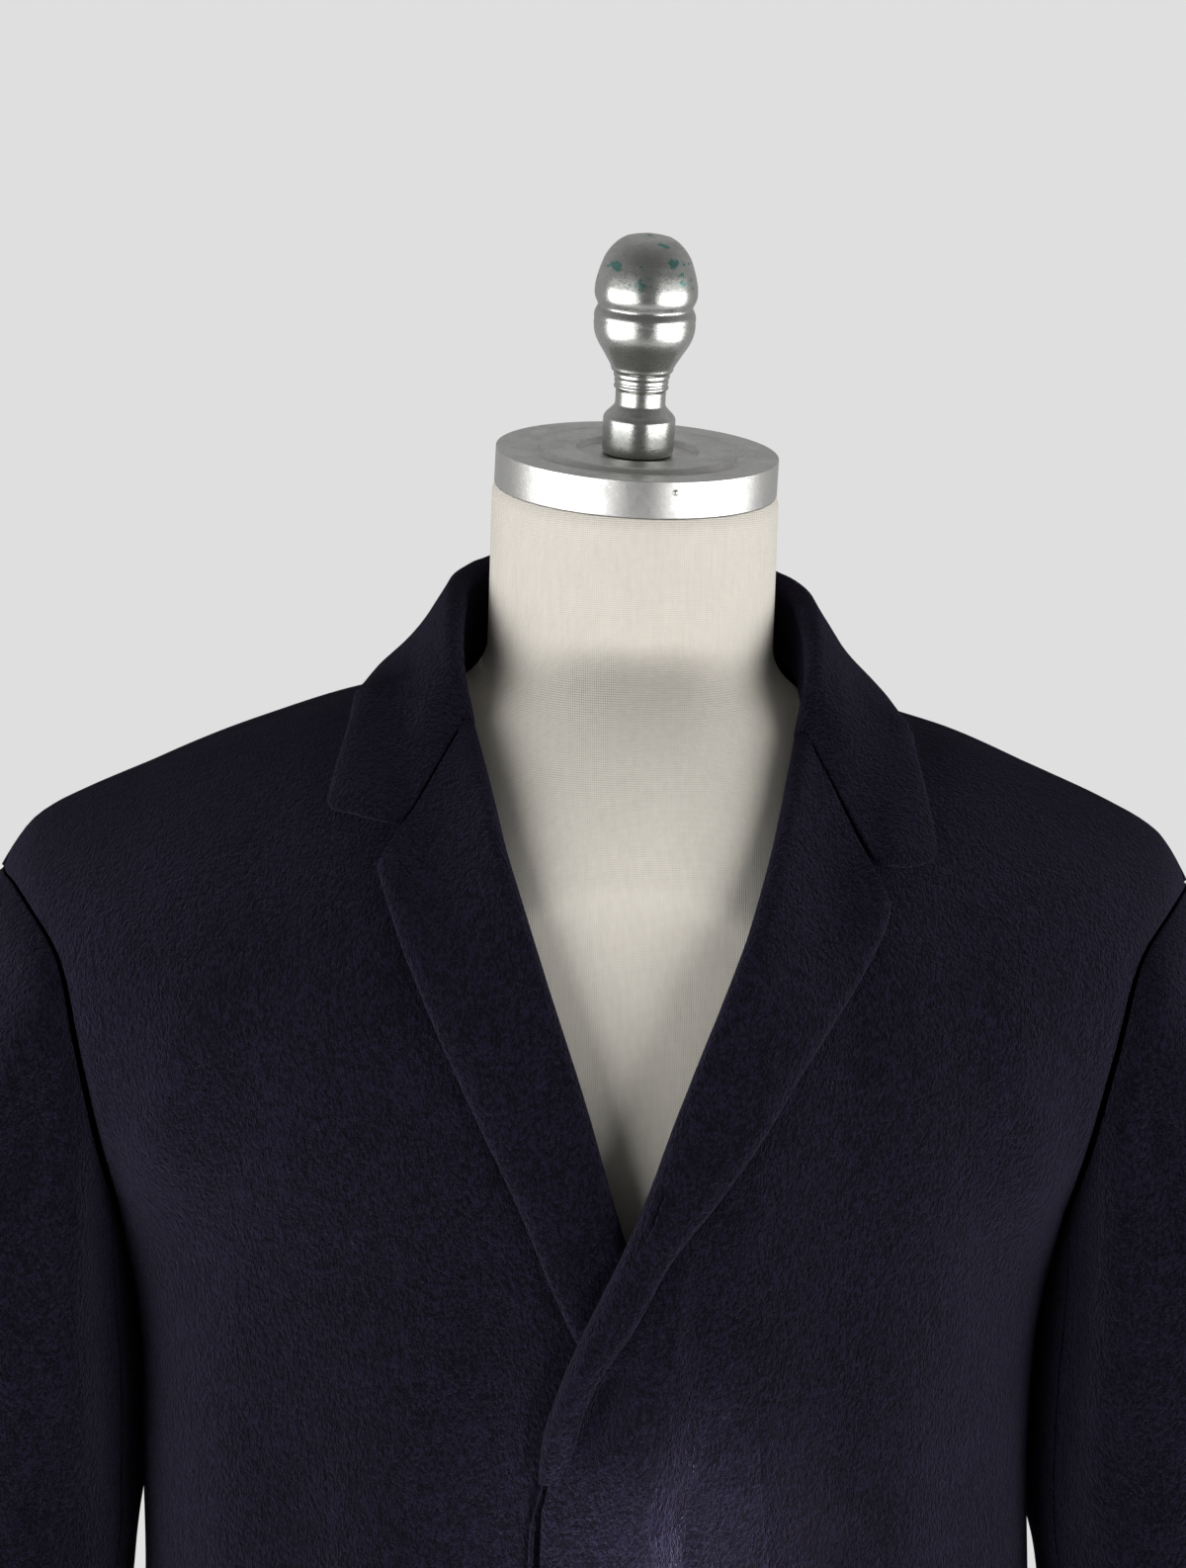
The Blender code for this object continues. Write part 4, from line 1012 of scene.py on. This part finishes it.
def front_shape(x, z, side_name):
    """The soft folds of a front. x is positive on its own side."""
    shape = folds(side_name, x, z)
    if side_name == "left":
        # The dent at the break, and the step where the cloth comes out from under the lapel.
        dent_x, dent_z = x + 0.0085, z - 1.161
        along = dent_z * 0.92 + dent_x * 0.39
        beside = dent_x * 0.92 - dent_z * 0.39
        shape = shape - 0.0075 * bump(beside, 0, 0.0068) * bump(along, 0, 0.019)
        step = (1 - ease(x, 0.0262, 0.0290)) * ease(-z, -1.240, -1.205)
        shape = shape + 0.0036 * step * ease(x, -0.016, 0.027)
    # The drag from the shoulder's end towards the armhole, and a hollow below the shoulder.
    drag = (x - 0.190) + 0.22 * (z - 1.30)
    shape = shape + 0.0030 * bump(drag, 0.0, 0.013) * bump(z, 1.27, 0.075)
    shape = shape - 0.0024 * bump(drag, -0.032, 0.015) * bump(z, 1.25, 0.07)
    return shape - 0.0020 * bump(x, 0.16, 0.03) * bump(z, 1.375, 0.03)


def back_shape(x, z):
    """The soft folds of a back's skirt, its shoulder blade and the hollow beside it."""
    blade = 0.0030 * bump(x, 0.105, 0.05) * bump(z, 1.32, 0.07)
    return folds("back", x, z) + blade - 0.0018 * bump(x, 0.17, 0.018) * bump(z, 1.25, 0.08)


def cloth_spread(x, z):
    """Slow unevenness of thick cloth, the same on every panel that it crosses."""
    wave = np.sin(31 * x + 13 * z) * np.sin(17 * z - 9 * x + 1.0)
    return 0.0005 * wave + 0.0003 * np.sin(55 * x + 2.0) * np.sin(38 * z + 0.5)


def armhole_valley(distance, width, z):
    """The soft valley on both sides of the armhole's seam, above the underarm."""
    return bump(distance, 0.0, width) * ease(z, 1.195, 1.215)


def hung(grid, mirror, channels, ways, *spacing):
    """A grid of cloth where it hangs, resampled; its other channels; and the distances from its
    edges."""
    whole = np.concatenate([slipped(mirrored(grid, mirror)), *channels], axis=-1)
    whole, edges = spaced(whole, ways, *spacing)
    return whole[..., :3], np.moveaxis(whole[..., 3:], -1, 0), edges


def make_front(side_name, mirror, lift):
    right = side_edge(LOW_ROWS, HIGH_ROWS)
    top = shoulder_edge(NECK_SEAM["rows"][2][0], 70)
    grid = panel_grid(front_edge(not mirror), right, *top, -1, lift)
    grid = drawn_back(grid, ("right", "high"))
    ways = {"left": "free", "right": "seam", "low": "free", "high": "seam"}
    grid, (x, z), edges = hung(grid, mirror, [grid[..., [0, 2]]], ways)
    hold = fade_in(edges["right"], 0.030) * fade_in(edges["high"], 0.020)
    under_lapel = ease(z, 1.25, 1.33) * (1 - ease(edges["left"], 0.045, 0.075))
    relief = (front_shape(x, z, side_name) + cloth_spread(x, z)) * hold * (1 - 0.9 * under_lapel)
    relief = relief + rolled_edge(edges["left"], *EDGE_ROLLS["front"]) * ease(-z, -1.122, -1.100)
    relief = relief - 0.0016 * armhole_valley(edges["right"], 0.0055, z)
    relief = relief + edge_relief(edges["low"])
    return shell(f"front_{side_name}_cloth", grid, (0, -1, 0), (0.3, 0.5), ways, relief)


def make_back(side_name, mirror):
    right = side_edge(LOW_ROWS, HIGH_ROWS)
    top_x, top_z = back_top(90)
    low = rows_of_z(HEM_Z, UNDERARM_Z, LOW_ROWS)
    high = rows_of_z(UNDERARM_Z, top_z[0], HIGH_ROWS, TOP_POWER)[1:]
    z = np.concatenate([low, high])
    inner = np.stack([np.full_like(z, 1e-5), z], axis=-1)
    grid = panel_grid(inner, right, top_x, top_z, 1, no_lift)
    grid = drawn_back(grid, ("left", "right", "high"))
    ways = {"left": "seam", "right": "seam", "low": "free", "high": "seam"}
    grid, (x, z), edges = hung(grid, mirror, [grid[..., [0, 2]]], ways)
    hold = fade_in(edges["right"], 0.030) * fade_in(edges["high"], 0.020)
    hold = hold * fade_in(edges["left"], 0.030)
    relief = (back_shape(x, z) + cloth_spread(x, z)) * hold + edge_relief(edges["low"])
    return shell(f"back_{side_name}_cloth", grid, (0, 1, 0), (0.3, 0.5), ways, relief)


def sleeve_shape(angle, z):
    """A sleeve's soft folds, by the angle round it: 0 is outside, 90 the front."""
    shape = 0.0055 * bump(angle, 122, 13) * ease(z, 1.05, 1.16) * (1 - ease(z, 1.27, 1.33))
    for height, turn, width, middle, reach in SLEEVE_FOLDS:
        shape = shape + height * bump(angle, turn, width) * bump(z, middle, reach)
    for middle, lean, size in ELBOW_CREASES:
        line = z - middle - lean * (angle - 90)
        crease = 0.0024 * bump(line, 0.019, 0.011) - 0.0032 * bump(line, 0.0, 0.009)
        shape = shape + size * crease * bump(angle, 105, 42)
    shape = shape + 0.0024 * bump(angle, 20, 16) * ease(-z, -1.10, -0.95)
    return shape - 0.0020 * bump(angle, -24, 16) * ease(-z, -1.08, -0.92)


def make_sleeve(side_name, mirror):
    """The top and under sleeve, cut from the same rings."""
    rings = sleeve_rings()
    step = 360 / SLEEVE_STEPS
    start, end = (int(a / step) for a in SLEEVE_UNDER)
    angle = np.broadcast_to(np.arange(SLEEVE_STEPS + 1) * step, rings.shape[:2])
    rings = np.concatenate([rings, angle[..., None]], axis=-1)
    behind = rings[:, end:-1] - np.array([0, 0, 0, 360])
    top = np.concatenate([behind, rings[:, : start + 1]], axis=1)
    out = -1 if mirror else 1
    ways = {"left": "seam", "right": "seam", "low": "seam", "high": "free"}
    made = []
    for part, rings, facing in (("top", top, out), ("under", rings[:, start : end + 1], -out)):
        grid = drawn_back(rings[..., :3], ("left", "right"), WALL, SEAM)
        grid, (turn, z), edges = hung(grid, mirror, [rings[..., 3:], grid[..., 2:]], ways)
        hold = fade_in(edges["left"], 0.022) * fade_in(edges["right"], 0.022)
        hold = hold * fade_in(edges["low"], 0.045)
        relief = (sleeve_shape(turn, z) + cloth_spread(0.002 * turn, z)) * hold
        head = 0.5 + 0.5 * np.cos(np.radians(np.clip(turn, -150, 150)))
        relief = relief + 0.0016 * head * bump(edges["low"], 0.014, 0.009)
        relief = relief - 0.0014 * armhole_valley(edges["low"], 0.0050, z)
        near = np.minimum(read(SLEEVE, "clear", z), 0.0012) - 0.0003
        hug = bump(turn, 180, 28) * ease(z, 1.070, 1.100) * ease(edges["low"], 0.001, 0.006)
        relief = relief + near * hug + edge_relief(edges["high"])
        name = f"sleeve_{side_name}_{part}_cloth"
        made.append(shell(name, grid, (facing, 0, 0), (0.8, 0.5), ways, relief))
    return made


# ---------------------------------------------------------------- lapels and collar


def fold_rows(roll, edge, lift):
    """The crease up a lapel, with the ways across to its leaf and out from the body."""
    base = lift(roll[:, 0], roll[:, 1])
    half = WALL / 2
    crease = surface(roll[:, 0], roll[:, 1], -1, base - half)
    above = surface(roll[:, 0], roll[:, 1], -1, base + half)
    out = unit(above - crease)
    beside = roll + unit(edge - roll) * 0.004
    across = unit(surface(beside[:, 0], beside[:, 1], -1, base - half) - crease)
    along = unit(np.gradient(crease, axis=0))
    return crease, unit(across - along * (across * along).sum(-1, keepdims=True)), out


def lapel_rows(side_name):
    """(x, z) rows up the roll line and the outer edge, and each row's share of full thickness."""
    edge_rows = np.array(LAPEL_EDGE[side_name])[:, ::-1]
    roll = roll_points(LAPEL_ROWS)
    edge = curve(edge_rows, np.linspace(0, 1, LAPEL_ROWS))
    if side_name == "left":
        low_z = np.linspace(ROLL_TAIL["rows"][0][0], BREAK_Z, TAIL_ROWS + 1)[:-1]
        low_roll = np.stack([read(ROLL_TAIL, "x", low_z), low_z], axis=-1)
        tail_rows = np.array(TAIL_EDGE)[:, ::-1]
        low_edge = curve(tail_rows, np.linspace(0, 1, TAIL_ROWS + 1))[:-1]
        roll = np.concatenate([low_roll, roll])
        edge = np.concatenate([low_edge, edge])
    return roll, edge, tail_share(roll[:, 1])


def lapel_grid(side_name, lift):
    """A lapel's outer points: the flange behind the front, the turned edge and the leaf. Also
    gives each point's wall."""
    roll, edge, share_full = lapel_rows(side_name)
    crease, across, out = fold_rows(roll, edge, lift)
    radius = (FOLD_RADIUS * share_full)[:, None]
    arc = fold_arc(crease + across * radius, across, out, radius)
    flange = arc[:, :1] + across[:, None] * (FLANGE * share_full)[:, None, None]
    share = np.linspace(0, 1, LAPEL_COLUMNS + 1)[1:]
    start = roll + unit(edge - roll) * radius
    flat = start[:, None] * (1 - share[None, :, None]) + edge[:, None] * share[None, :, None]
    x, z = flat[..., 0], flat[..., 1]
    rise = GORGE_RISE * ease(z, 1.385, 1.43) * ease(share, 0, 0.3)[None]
    leaf = surface(x, z, -1, lift(x, z) + radius - WALL / 2 + rise)
    grid = np.concatenate([flange, arc, leaf], axis=1)
    return grid, TURNED * np.broadcast_to(share_full[:, None], grid.shape[:2])


def make_lapel(side_name, mirror, lift):
    grid, wall = lapel_grid(side_name, lift)
    grid = drawn_back(grid, ("high",), TURNED)
    ways = {"left": "seam", "right": "free", "low": "seam", "high": "seam"}
    channels = [grid[..., [0, 2]], wall[..., None]]
    grid, (x, z, wall), edges = hung(grid, mirror, channels, ways, 0.0040, 0.0055)
    outer, top = edges["right"], edges["high"]
    height, reach = EDGE_ROLLS["lapel"]
    rise = height * (0.35 + 0.65 * ease(z, 1.12, 1.17))
    notch = ease(x, 0.1045, 0.1085) * ease(outer, 0.0, 0.030)
    relief = rolled_edge(outer, 1.0, reach) * rise
    relief = relief + rolled_edge(top, *EDGE_ROLLS["lapel_top"]) * notch
    belly = bump(outer, 0.034, 0.016) * bump(z, 1.30, 0.07) * ease(edges["left"], 0.028, 0.040)
    tip = bump(top, 0.0, 0.030) * bump(outer, 0.0, 0.030)
    relief = relief + 0.0016 * belly + 0.0010 * tip
    name = f"lapel_{side_name}_cloth"
    return shell(name, grid, (0, -1, 0), (0.6, 0.85), ways, relief, wall)


def skewed(points):
    """The collar's ends, which sit a little askew: off to the wearer's left, and lower there."""
    x, z = points[..., 0], points[..., 2]
    points = points.copy()
    points[..., 2] -= 0.028 * x * ease(np.abs(x), 0.090, 0.130) * ease(z, 1.365, 1.400)
    points[..., 0] += 0.0028 * ease(np.abs(x), 0.085, 0.118) * ease(z, 1.385, 1.405)
    return points


def make_collar():
    half = drawn_back(collar_grid(), ("low",), TURNED)
    half[-1, :, 0] = 0
    whole = np.concatenate([half, mirrored(half[::-1][1:], True)])
    whole = np.concatenate([skewed(slipped(whole)), np.abs(whole[..., :1])], axis=-1)
    ways = {"left": "seam", "right": "free", "low": "free", "high": "free"}
    whole, edges = spaced(whole, ways, 0.0045, 0.0050)
    low, high, outer = edges["low"], edges["high"], edges["right"]
    notch = ease(whole[..., 3], 0.1065, 0.1120) * ease(outer, 0.0, 0.030)
    ends = sum(rolled_edge(end, *EDGE_ROLLS["collar_end"]) for end in (low, high))
    relief = rolled_edge(outer, *EDGE_ROLLS["collar"]) + ends * notch
    relief = relief + 0.0009 * bump(edges["left"], 0.055, 0.016) * ease(low, 0, 0.08)
    whole = whole[..., :3]
    return shell("collar_cloth", whole, (0, 1, 0.5), (0.5, 0.95), ways, relief, TURNED)


def make_fly():
    """The strip behind the left front's edge. It comes out from behind the edge as it goes down."""
    z = np.linspace(HEM_Z + 0.01, FLY_TOP_Z, 130)
    edge = -FRONT_OVERLAP - FLY_PROUD + 0.0062 * ease(z, 1.095, 1.128)
    share = np.linspace(0, 1, 16)
    x = edge[:, None] + (-0.010 - edge[:, None]) * share[None]
    z = np.broadcast_to(z[:, None], x.shape)
    points = surface(x, z, -1, np.full_like(x, WALL + 0.0006))
    folded = round_point(round_angle(x, z), z, -1) - surface(x, z, -1)
    ways = {"left": "free", "right": "seam", "low": "free", "high": "seam"}
    whole, edges = spaced(slipped(points + folded), ways, 0.005, 0.008)
    behind = ease(edges["left"], 0.0020, 0.0046)
    relief, wall = -0.0018 * behind, WALL - 0.0002 - 0.0013 * behind
    return shell("fly_cloth", whole, (0, -1, 0), (0.5, 0.5), ways, relief, wall)


# ---------------------------------------------------------------- form and stand


def form_reaches(angle, z):
    """How far the torso's surface is from the axis, for arrays of directions and heights."""
    low, high = np.zeros_like(angle), np.full_like(angle, 0.25)
    width, deep = read(FORM, "width", z), read(FORM, "depth", z)
    front = np.cos(angle) > 0
    for _ in range(26):
        reach = (low + high) / 2
        x, y = reach * np.abs(np.sin(angle)), reach * np.abs(np.cos(angle))
        drop = 0.0057 - 0.0016 * ease(x, 0.078, 0.095) + 0.010 * ease(x, 0.105, 0.19)
        drop = drop + np.maximum(np.maximum(-hang(x, z), -hang(-x, z)), 0)
        cover = np.where(front, depth(x, z + drop, -1), depth(x, z + drop, 1))
        limit = cover - 0.0125 * ease(cover, 0.0, 0.045)
        oval = np.maximum(1 - np.clip(x / width, 0, 1) ** 2.2, 0) ** (1 / 2.2) * deep
        inside = (x < width) & (y < np.minimum(limit, oval))
        low, high = np.where(inside, reach, low), np.where(inside, high, reach)
    return low


FORM_STEPS = 128
# The rounded lower end of the form: heights, and how far the surface is drawn in there.
FORM_LOW = ((FORM_BOTTOM_Z, 0.8015, 0.805, 0.812), (0.010, 0.006, 0.0025, 0.0))


def make_form():
    torso, neck_z = np.linspace(0.83, 1.34, 40), np.linspace(1.35, NECK_TOP_Z, 64)
    heights = np.concatenate([FORM_LOW[0], torso, neck_z])
    turn = 2 * math.pi * np.arange(FORM_STEPS) / FORM_STEPS
    turn = np.arctan2(np.sin(turn) * 1.5, np.cos(turn))
    angle, z = np.meshgrid(turn, heights)
    reach = form_reaches(angle, z) - np.interp(z, *FORM_LOW)
    neck = np.where(z > 1.36, NECK_RADIUS, 0.0)
    near = np.clip(0.010 - np.abs(reach - neck), 0, None) / 0.010
    reach = np.maximum(reach, neck) + near * near * 0.010 / 4
    reach = reach - 0.0012 * ease(z, NECK_TOP_Z - 0.0022, NECK_TOP_Z)
    x, y = reach * np.sin(angle), -reach * np.cos(angle)
    tilt = y * math.tan(NECK_TILT) - x * math.tan(NECK_LEAN) / math.cos(NECK_TILT)
    tilt = tilt * ease(z, 1.50, NECK_TOP_Z)
    points = np.stack([x, y, z + tilt], axis=-1)
    ids = np.arange(z.size).reshape(z.shape)
    faces = quads(closed(ids)).tolist() + [ids[0, ::-1].tolist(), ids[-1].tolist()]
    return plain_piece("form_canvas", points.reshape(-1, 3).tolist(), faces, "canvas", 40)


def lathe(name, profile, steps, slot, place, sharp):
    """A turned piece from (radius, z) points that run from top to bottom, both ends on the axis."""
    vertices, rings = [], []
    for radius, z in profile:
        count = 1 if radius < 1e-6 else steps
        rings.append(range(len(vertices), len(vertices) + count))
        for k in range(count):
            turn = 2 * math.pi * k / steps
            point = Vector((radius * math.cos(turn), radius * math.sin(turn), z))
            vertices.append(tuple(place @ point))
    faces = []
    for high, low in zip(rings, rings[1:]):
        for k in range(steps):
            after = (k + 1) % steps
            corners = ((high, k), (low, k), (low, after), (high, after))
            face = dict.fromkeys(ring[i % len(ring)] for ring, i in corners)
            faces.append(tuple(face))
    return plain_piece(name, vertices, faces, slot, sharp)


def rounded_profile(points, radius):
    """The profile with each inner corner cut to an arc of about this radius."""
    out = [points[0]]
    for before, corner, after in zip(points, points[1:], points[2:]):
        b, c, a = (np.array(p, float) for p in (before, corner, after))
        first, second = b - c, a - c
        reach = min(radius, 0.45 * np.linalg.norm(first), 0.45 * np.linalg.norm(second))
        p, q = c + unit(first) * reach, c + unit(second) * reach
        for t in np.linspace(0, 1, 5):
            out.append(tuple(p * (1 - t) ** 2 + 2 * c * t * (1 - t) + q * t * t))
    return out + [points[-1]]


# The cap's top from its middle out: radius, and height over the cap's rim. A raised ring runs
# round the knob's seat.
CAP_SEAT = 0.0012
CAP_TOP = (
    (0, -CAP_SEAT), (0.0272, -CAP_SEAT), (0.0284, 0.0012), (0.03, 0.0014), (0.0438, 0.0014),
    (0.0448, 0.0006), (0.0458, -0.0012), (0.048, -0.0012), (0.052, 0), (CAP_RADIUS, 0),
)
# The screw in the cap's band: degrees from the front, height, and its own (radius, z) profile.
SCREW_TURN, SCREW_Z = 13.2, 0.0122
SCREW = ((0, 0.0007), (0.0008, 0.0006), (0.0014, 0.0002), (0.0014, -0.0004), (0, -0.0004))
# The lines cut and the rings left in the knob, by height, and the depth and half width of each.
KNOB_LINES = (
    ((0.0294, 0.0326, 0.0348, 0.0376), -0.00050, 0.0006),
    ((0.0310, 0.0390), 0.00045, 0.0010),
    ((0.0618,), -0.0002, 0.0006),
)


def make_cap():
    profile = [(radius, CAP_THICK + z) for radius, z in CAP_TOP] + [(CAP_RADIUS, 0.0), (0, 0.0)]
    return lathe("cap_turned", rounded_profile(profile, 0.0005), 160, "aluminium", cap_place(), 60)


def make_screw():
    """A small round screw head in the cap's band, just right of the middle in the photo."""
    turn = Matrix.Rotation(math.radians(SCREW_TURN), 4, "Z")
    seat = Matrix.Translation((0, -CAP_RADIUS - 0.0001, SCREW_Z))
    place = cap_place() @ turn @ seat @ Matrix.Rotation(math.pi / 2, 4, "X")
    return lathe("cap_screw", SCREW, 24, "aluminium", place, 60)


def make_finial():
    seat = Matrix.Translation((0, 0, CAP_THICK - CAP_SEAT + SEAM))
    rows = np.array(FINIAL["rows"])
    z = np.linspace(0, rows[-1][0], 150)
    radius = smooth(rows[:, 0], rows[:, 1], z)
    for heights, rise, width in KNOB_LINES:
        for middle in heights:
            radius = radius + rise * bump(z, middle, width)
    top = rows[-1]
    cap = [(0.0, top[0] + 0.0007), (top[1] * 0.5, top[0] + 0.0005)]
    profile = cap + list(zip(radius, z))[::-1] + [(0.0, 0.0)]
    return lathe("finial_turned", profile, 120, "patina_metal", cap_place() @ seat, 70)


def make_stand():
    profile = (
        (0, 0.03), (POLE_RADIUS + 0.012, 0.03), (POLE_RADIUS + 0.016, 0.026), (0.08, 0.02),
        (BASE_RADIUS - 0.01, BASE_EDGE + 0.002), (BASE_RADIUS, BASE_EDGE - 0.003),
        (BASE_RADIUS, 0.0015), (BASE_RADIUS - 0.0015, 0), (0, 0),
    )
    profile = rounded_profile(profile, 0.0025)
    base = lathe("base_turned", profile, 144, "stand_metal", Matrix(), 50)
    top, foot = FORM_BOTTOM_Z - SEAM, 0.030 + SEAM
    profile = ((0, top), (POLE_RADIUS, top), (POLE_RADIUS, foot), (0, foot))
    pole = lathe("pole_turned", profile, 48, "stand_metal", Matrix(), 50)
    return base, pole


# ---------------------------------------------------------------- the whole object


def declare(grid):
    """Works out the area of the grid that one cloth piece was built on; the result is not used."""
    u, v = grid[:-1, 1:] - grid[:-1, :-1], grid[1:, :-1] - grid[:-1, :-1]
    w, t = grid[:-1, 1:] - grid[1:, 1:], grid[1:, :-1] - grid[1:, 1:]
    area = 0.5 * np.linalg.norm(np.cross(u, v), axis=-1).sum()
    area += 0.5 * np.linalg.norm(np.cross(w, t), axis=-1).sum()


def build_coat(form):
    pieces = [
        ("front_left", *make_front("left", False, left_lift), "hung"),
        ("front_right", *make_front("right", True, no_lift), "hung"),
        ("back_left", *make_back("left", False), "hung"),
        ("back_right", *make_back("right", True), "hung"),
    ]
    for side_name, mirror in (("left", False), ("right", True)):
        top, under = make_sleeve(side_name, mirror)
        pieces.append((f"sleeve_{side_name}_top", *top, "hung"))
        pieces.append((f"sleeve_{side_name}_under", *under, "hung"))
    pieces.append(("lapel_left", *make_lapel("left", False, left_lift), "folded"))
    pieces.append(("lapel_right", *make_lapel("right", True, no_lift), "folded"))
    pieces.append(("collar", *make_collar(), "folded"))
    pieces.append(("fly", *make_fly(), "hung"))
    for node, piece, grid, held in pieces:
        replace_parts(piece, node)
        declare(grid)


def build_stand():
    form = make_form()
    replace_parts(form, "form_torso")
    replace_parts(make_cap(), "neck_cap")
    make_screw()
    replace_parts(make_finial(), "finial")
    base, pole = make_stand()
    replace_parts(base, "stand_base")
    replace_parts(pole, "stand_pole")
    return form


FLOOR_STEPS, FLOOR_RADIUS, FLOOR_Z = 96, 3.0, -0.0005


def build_floor():
    turns = [2 * math.pi * k / FLOOR_STEPS for k in range(FLOOR_STEPS)]
    corners = [(FLOOR_RADIUS * math.cos(t), FLOOR_RADIUS * math.sin(t), FLOOR_Z) for t in turns]
    mesh = bpy.data.meshes.new("floor")
    mesh.from_pydata(corners, [], [tuple(range(FLOOR_STEPS))])
    floor = bpy.data.objects.new("floor", mesh)
    bpy.context.scene.collection.objects.link(floor)
    mesh.materials.append(floor_material())


# The two soft boxes: degrees from the front, distance, height, aim, size in metres and watts.
BOX_TURNS = (("box_left", -60), ("box_right", 62))
BOX_DISTANCE, BOX_Z, BOX_AIM = 2.3, 0.95, (0, 0, 1.10)
BOX_SIZE, BOX_POWER = (3.2, 1.7), 68
# The weak light on the ridge below the break: place, aim, size, watts, and spread in degrees.
LOW_LIGHT = ((0.42, -1.15, 0.55), (0.012, -0.13, 1.085), (0.08, 0.08), 0.10, 8)
# The room that metal mirrors goes over from its front to its back part between these directions.
ROOM_TURN = (-0.7, 0.5)


def area_light(name, place, aim, size, power, spread=180):
    """A soft box that the camera doesn't see. spread is in degrees."""
    data = bpy.data.lights.new(name, "AREA")
    data.shape = "RECTANGLE"
    data.size, data.size_y = size
    data.energy = power
    data.spread = math.radians(spread)
    light = bpy.data.objects.new(name, data)
    light.location = place
    light.rotation_euler = (Vector(aim) - Vector(place)).to_track_quat("-Z", "Y").to_euler()
    light.visible_camera = False
    bpy.context.scene.collection.objects.link(light)


def blended(tree, share, low, high):
    """A grey between two others; each is a number or a colour output."""
    blend = tree.nodes.new("ShaderNodeMix")
    blend.data_type = "RGBA"
    tree.links.new(share, blend.inputs["Factor"])
    for entry, value in ((6, low), (7, high)):
        if isinstance(value, float):
            blend.inputs[entry].default_value = (value, value, value, 1)
        else:
            tree.links.new(value, blend.inputs[entry])
    return blend.outputs[2]


def build_lights():
    """Two large soft boxes, left and right of the camera, and a weak narrow light on the ridge
    below the break, in a dim room with a pale ground."""
    world = bpy.context.scene.world or bpy.data.worlds.new("studio")
    bpy.context.scene.world = world
    world.use_nodes = True
    tree = world.node_tree
    ground = tree.nodes["Background"]
    paths = tree.nodes.new("ShaderNodeLightPath").outputs
    way = tree.nodes.new("ShaderNodeSeparateXYZ")
    place = tree.nodes.new("ShaderNodeTexCoord")
    tree.links.new(place.outputs["Generated"], way.inputs["Vector"])
    behind = tree.nodes.new("ShaderNodeMapRange")
    tree.links.new(way.outputs["Y"], behind.inputs["Value"])
    behind.inputs["From Min"].default_value, behind.inputs["From Max"].default_value = ROOM_TURN
    seen = blended(tree, behind.outputs["Result"], *MIRRORED)
    room = blended(tree, paths["Is Glossy Ray"], ROOM, seen)
    colour = blended(tree, paths["Is Camera Ray"], room, BACKGROUND)
    tree.links.new(colour, ground.inputs["Color"])
    for name, turn in BOX_TURNS:
        turn = math.radians(turn)
        place = (BOX_DISTANCE * math.sin(turn), -BOX_DISTANCE * math.cos(turn), BOX_Z)
        area_light(name, place, BOX_AIM, BOX_SIZE, BOX_POWER)
    area_light("low_front", *LOW_LIGHT)


# The photograph's own angle: degrees round from the front, up and of roll, what it looks at, and
# its distance and lens.
CAMERA_TURN, CAMERA_RISE, CAMERA_ROLL = -2.577, 8.460, 1.889
CAMERA_AIM, CAMERA_DISTANCE, CAMERA_LENS = (-0.0150, 0.0, 1.4150), 3.0, 149.30


def build_camera():
    """A long lens, slightly from above and from the wearer's right."""
    turn, rise, roll = (math.radians(a) for a in (CAMERA_TURN, CAMERA_RISE, CAMERA_ROLL))
    level = math.cos(rise)
    away = Vector((math.sin(turn) * level, -math.cos(turn) * level, math.sin(rise)))
    data = bpy.data.cameras.new("camera")
    data.sensor_fit = "AUTO"
    data.sensor_width = 36
    data.lens = CAMERA_LENS
    data.clip_end = 200
    camera = bpy.data.objects.new("camera", data)
    look = (-away).to_track_quat("-Z", "Y").to_matrix() @ Matrix.Rotation(roll, 3, "Z")
    place = Vector(CAMERA_AIM) + away * CAMERA_DISTANCE
    camera.matrix_world = Matrix.Translation(place) @ look.to_4x4()
    bpy.context.scene.collection.objects.link(camera)
    bpy.context.scene.camera = camera


build_coat(build_stand())
build_floor()
build_lights()
build_camera()
bpy.context.scene.view_settings.view_transform = "Standard"
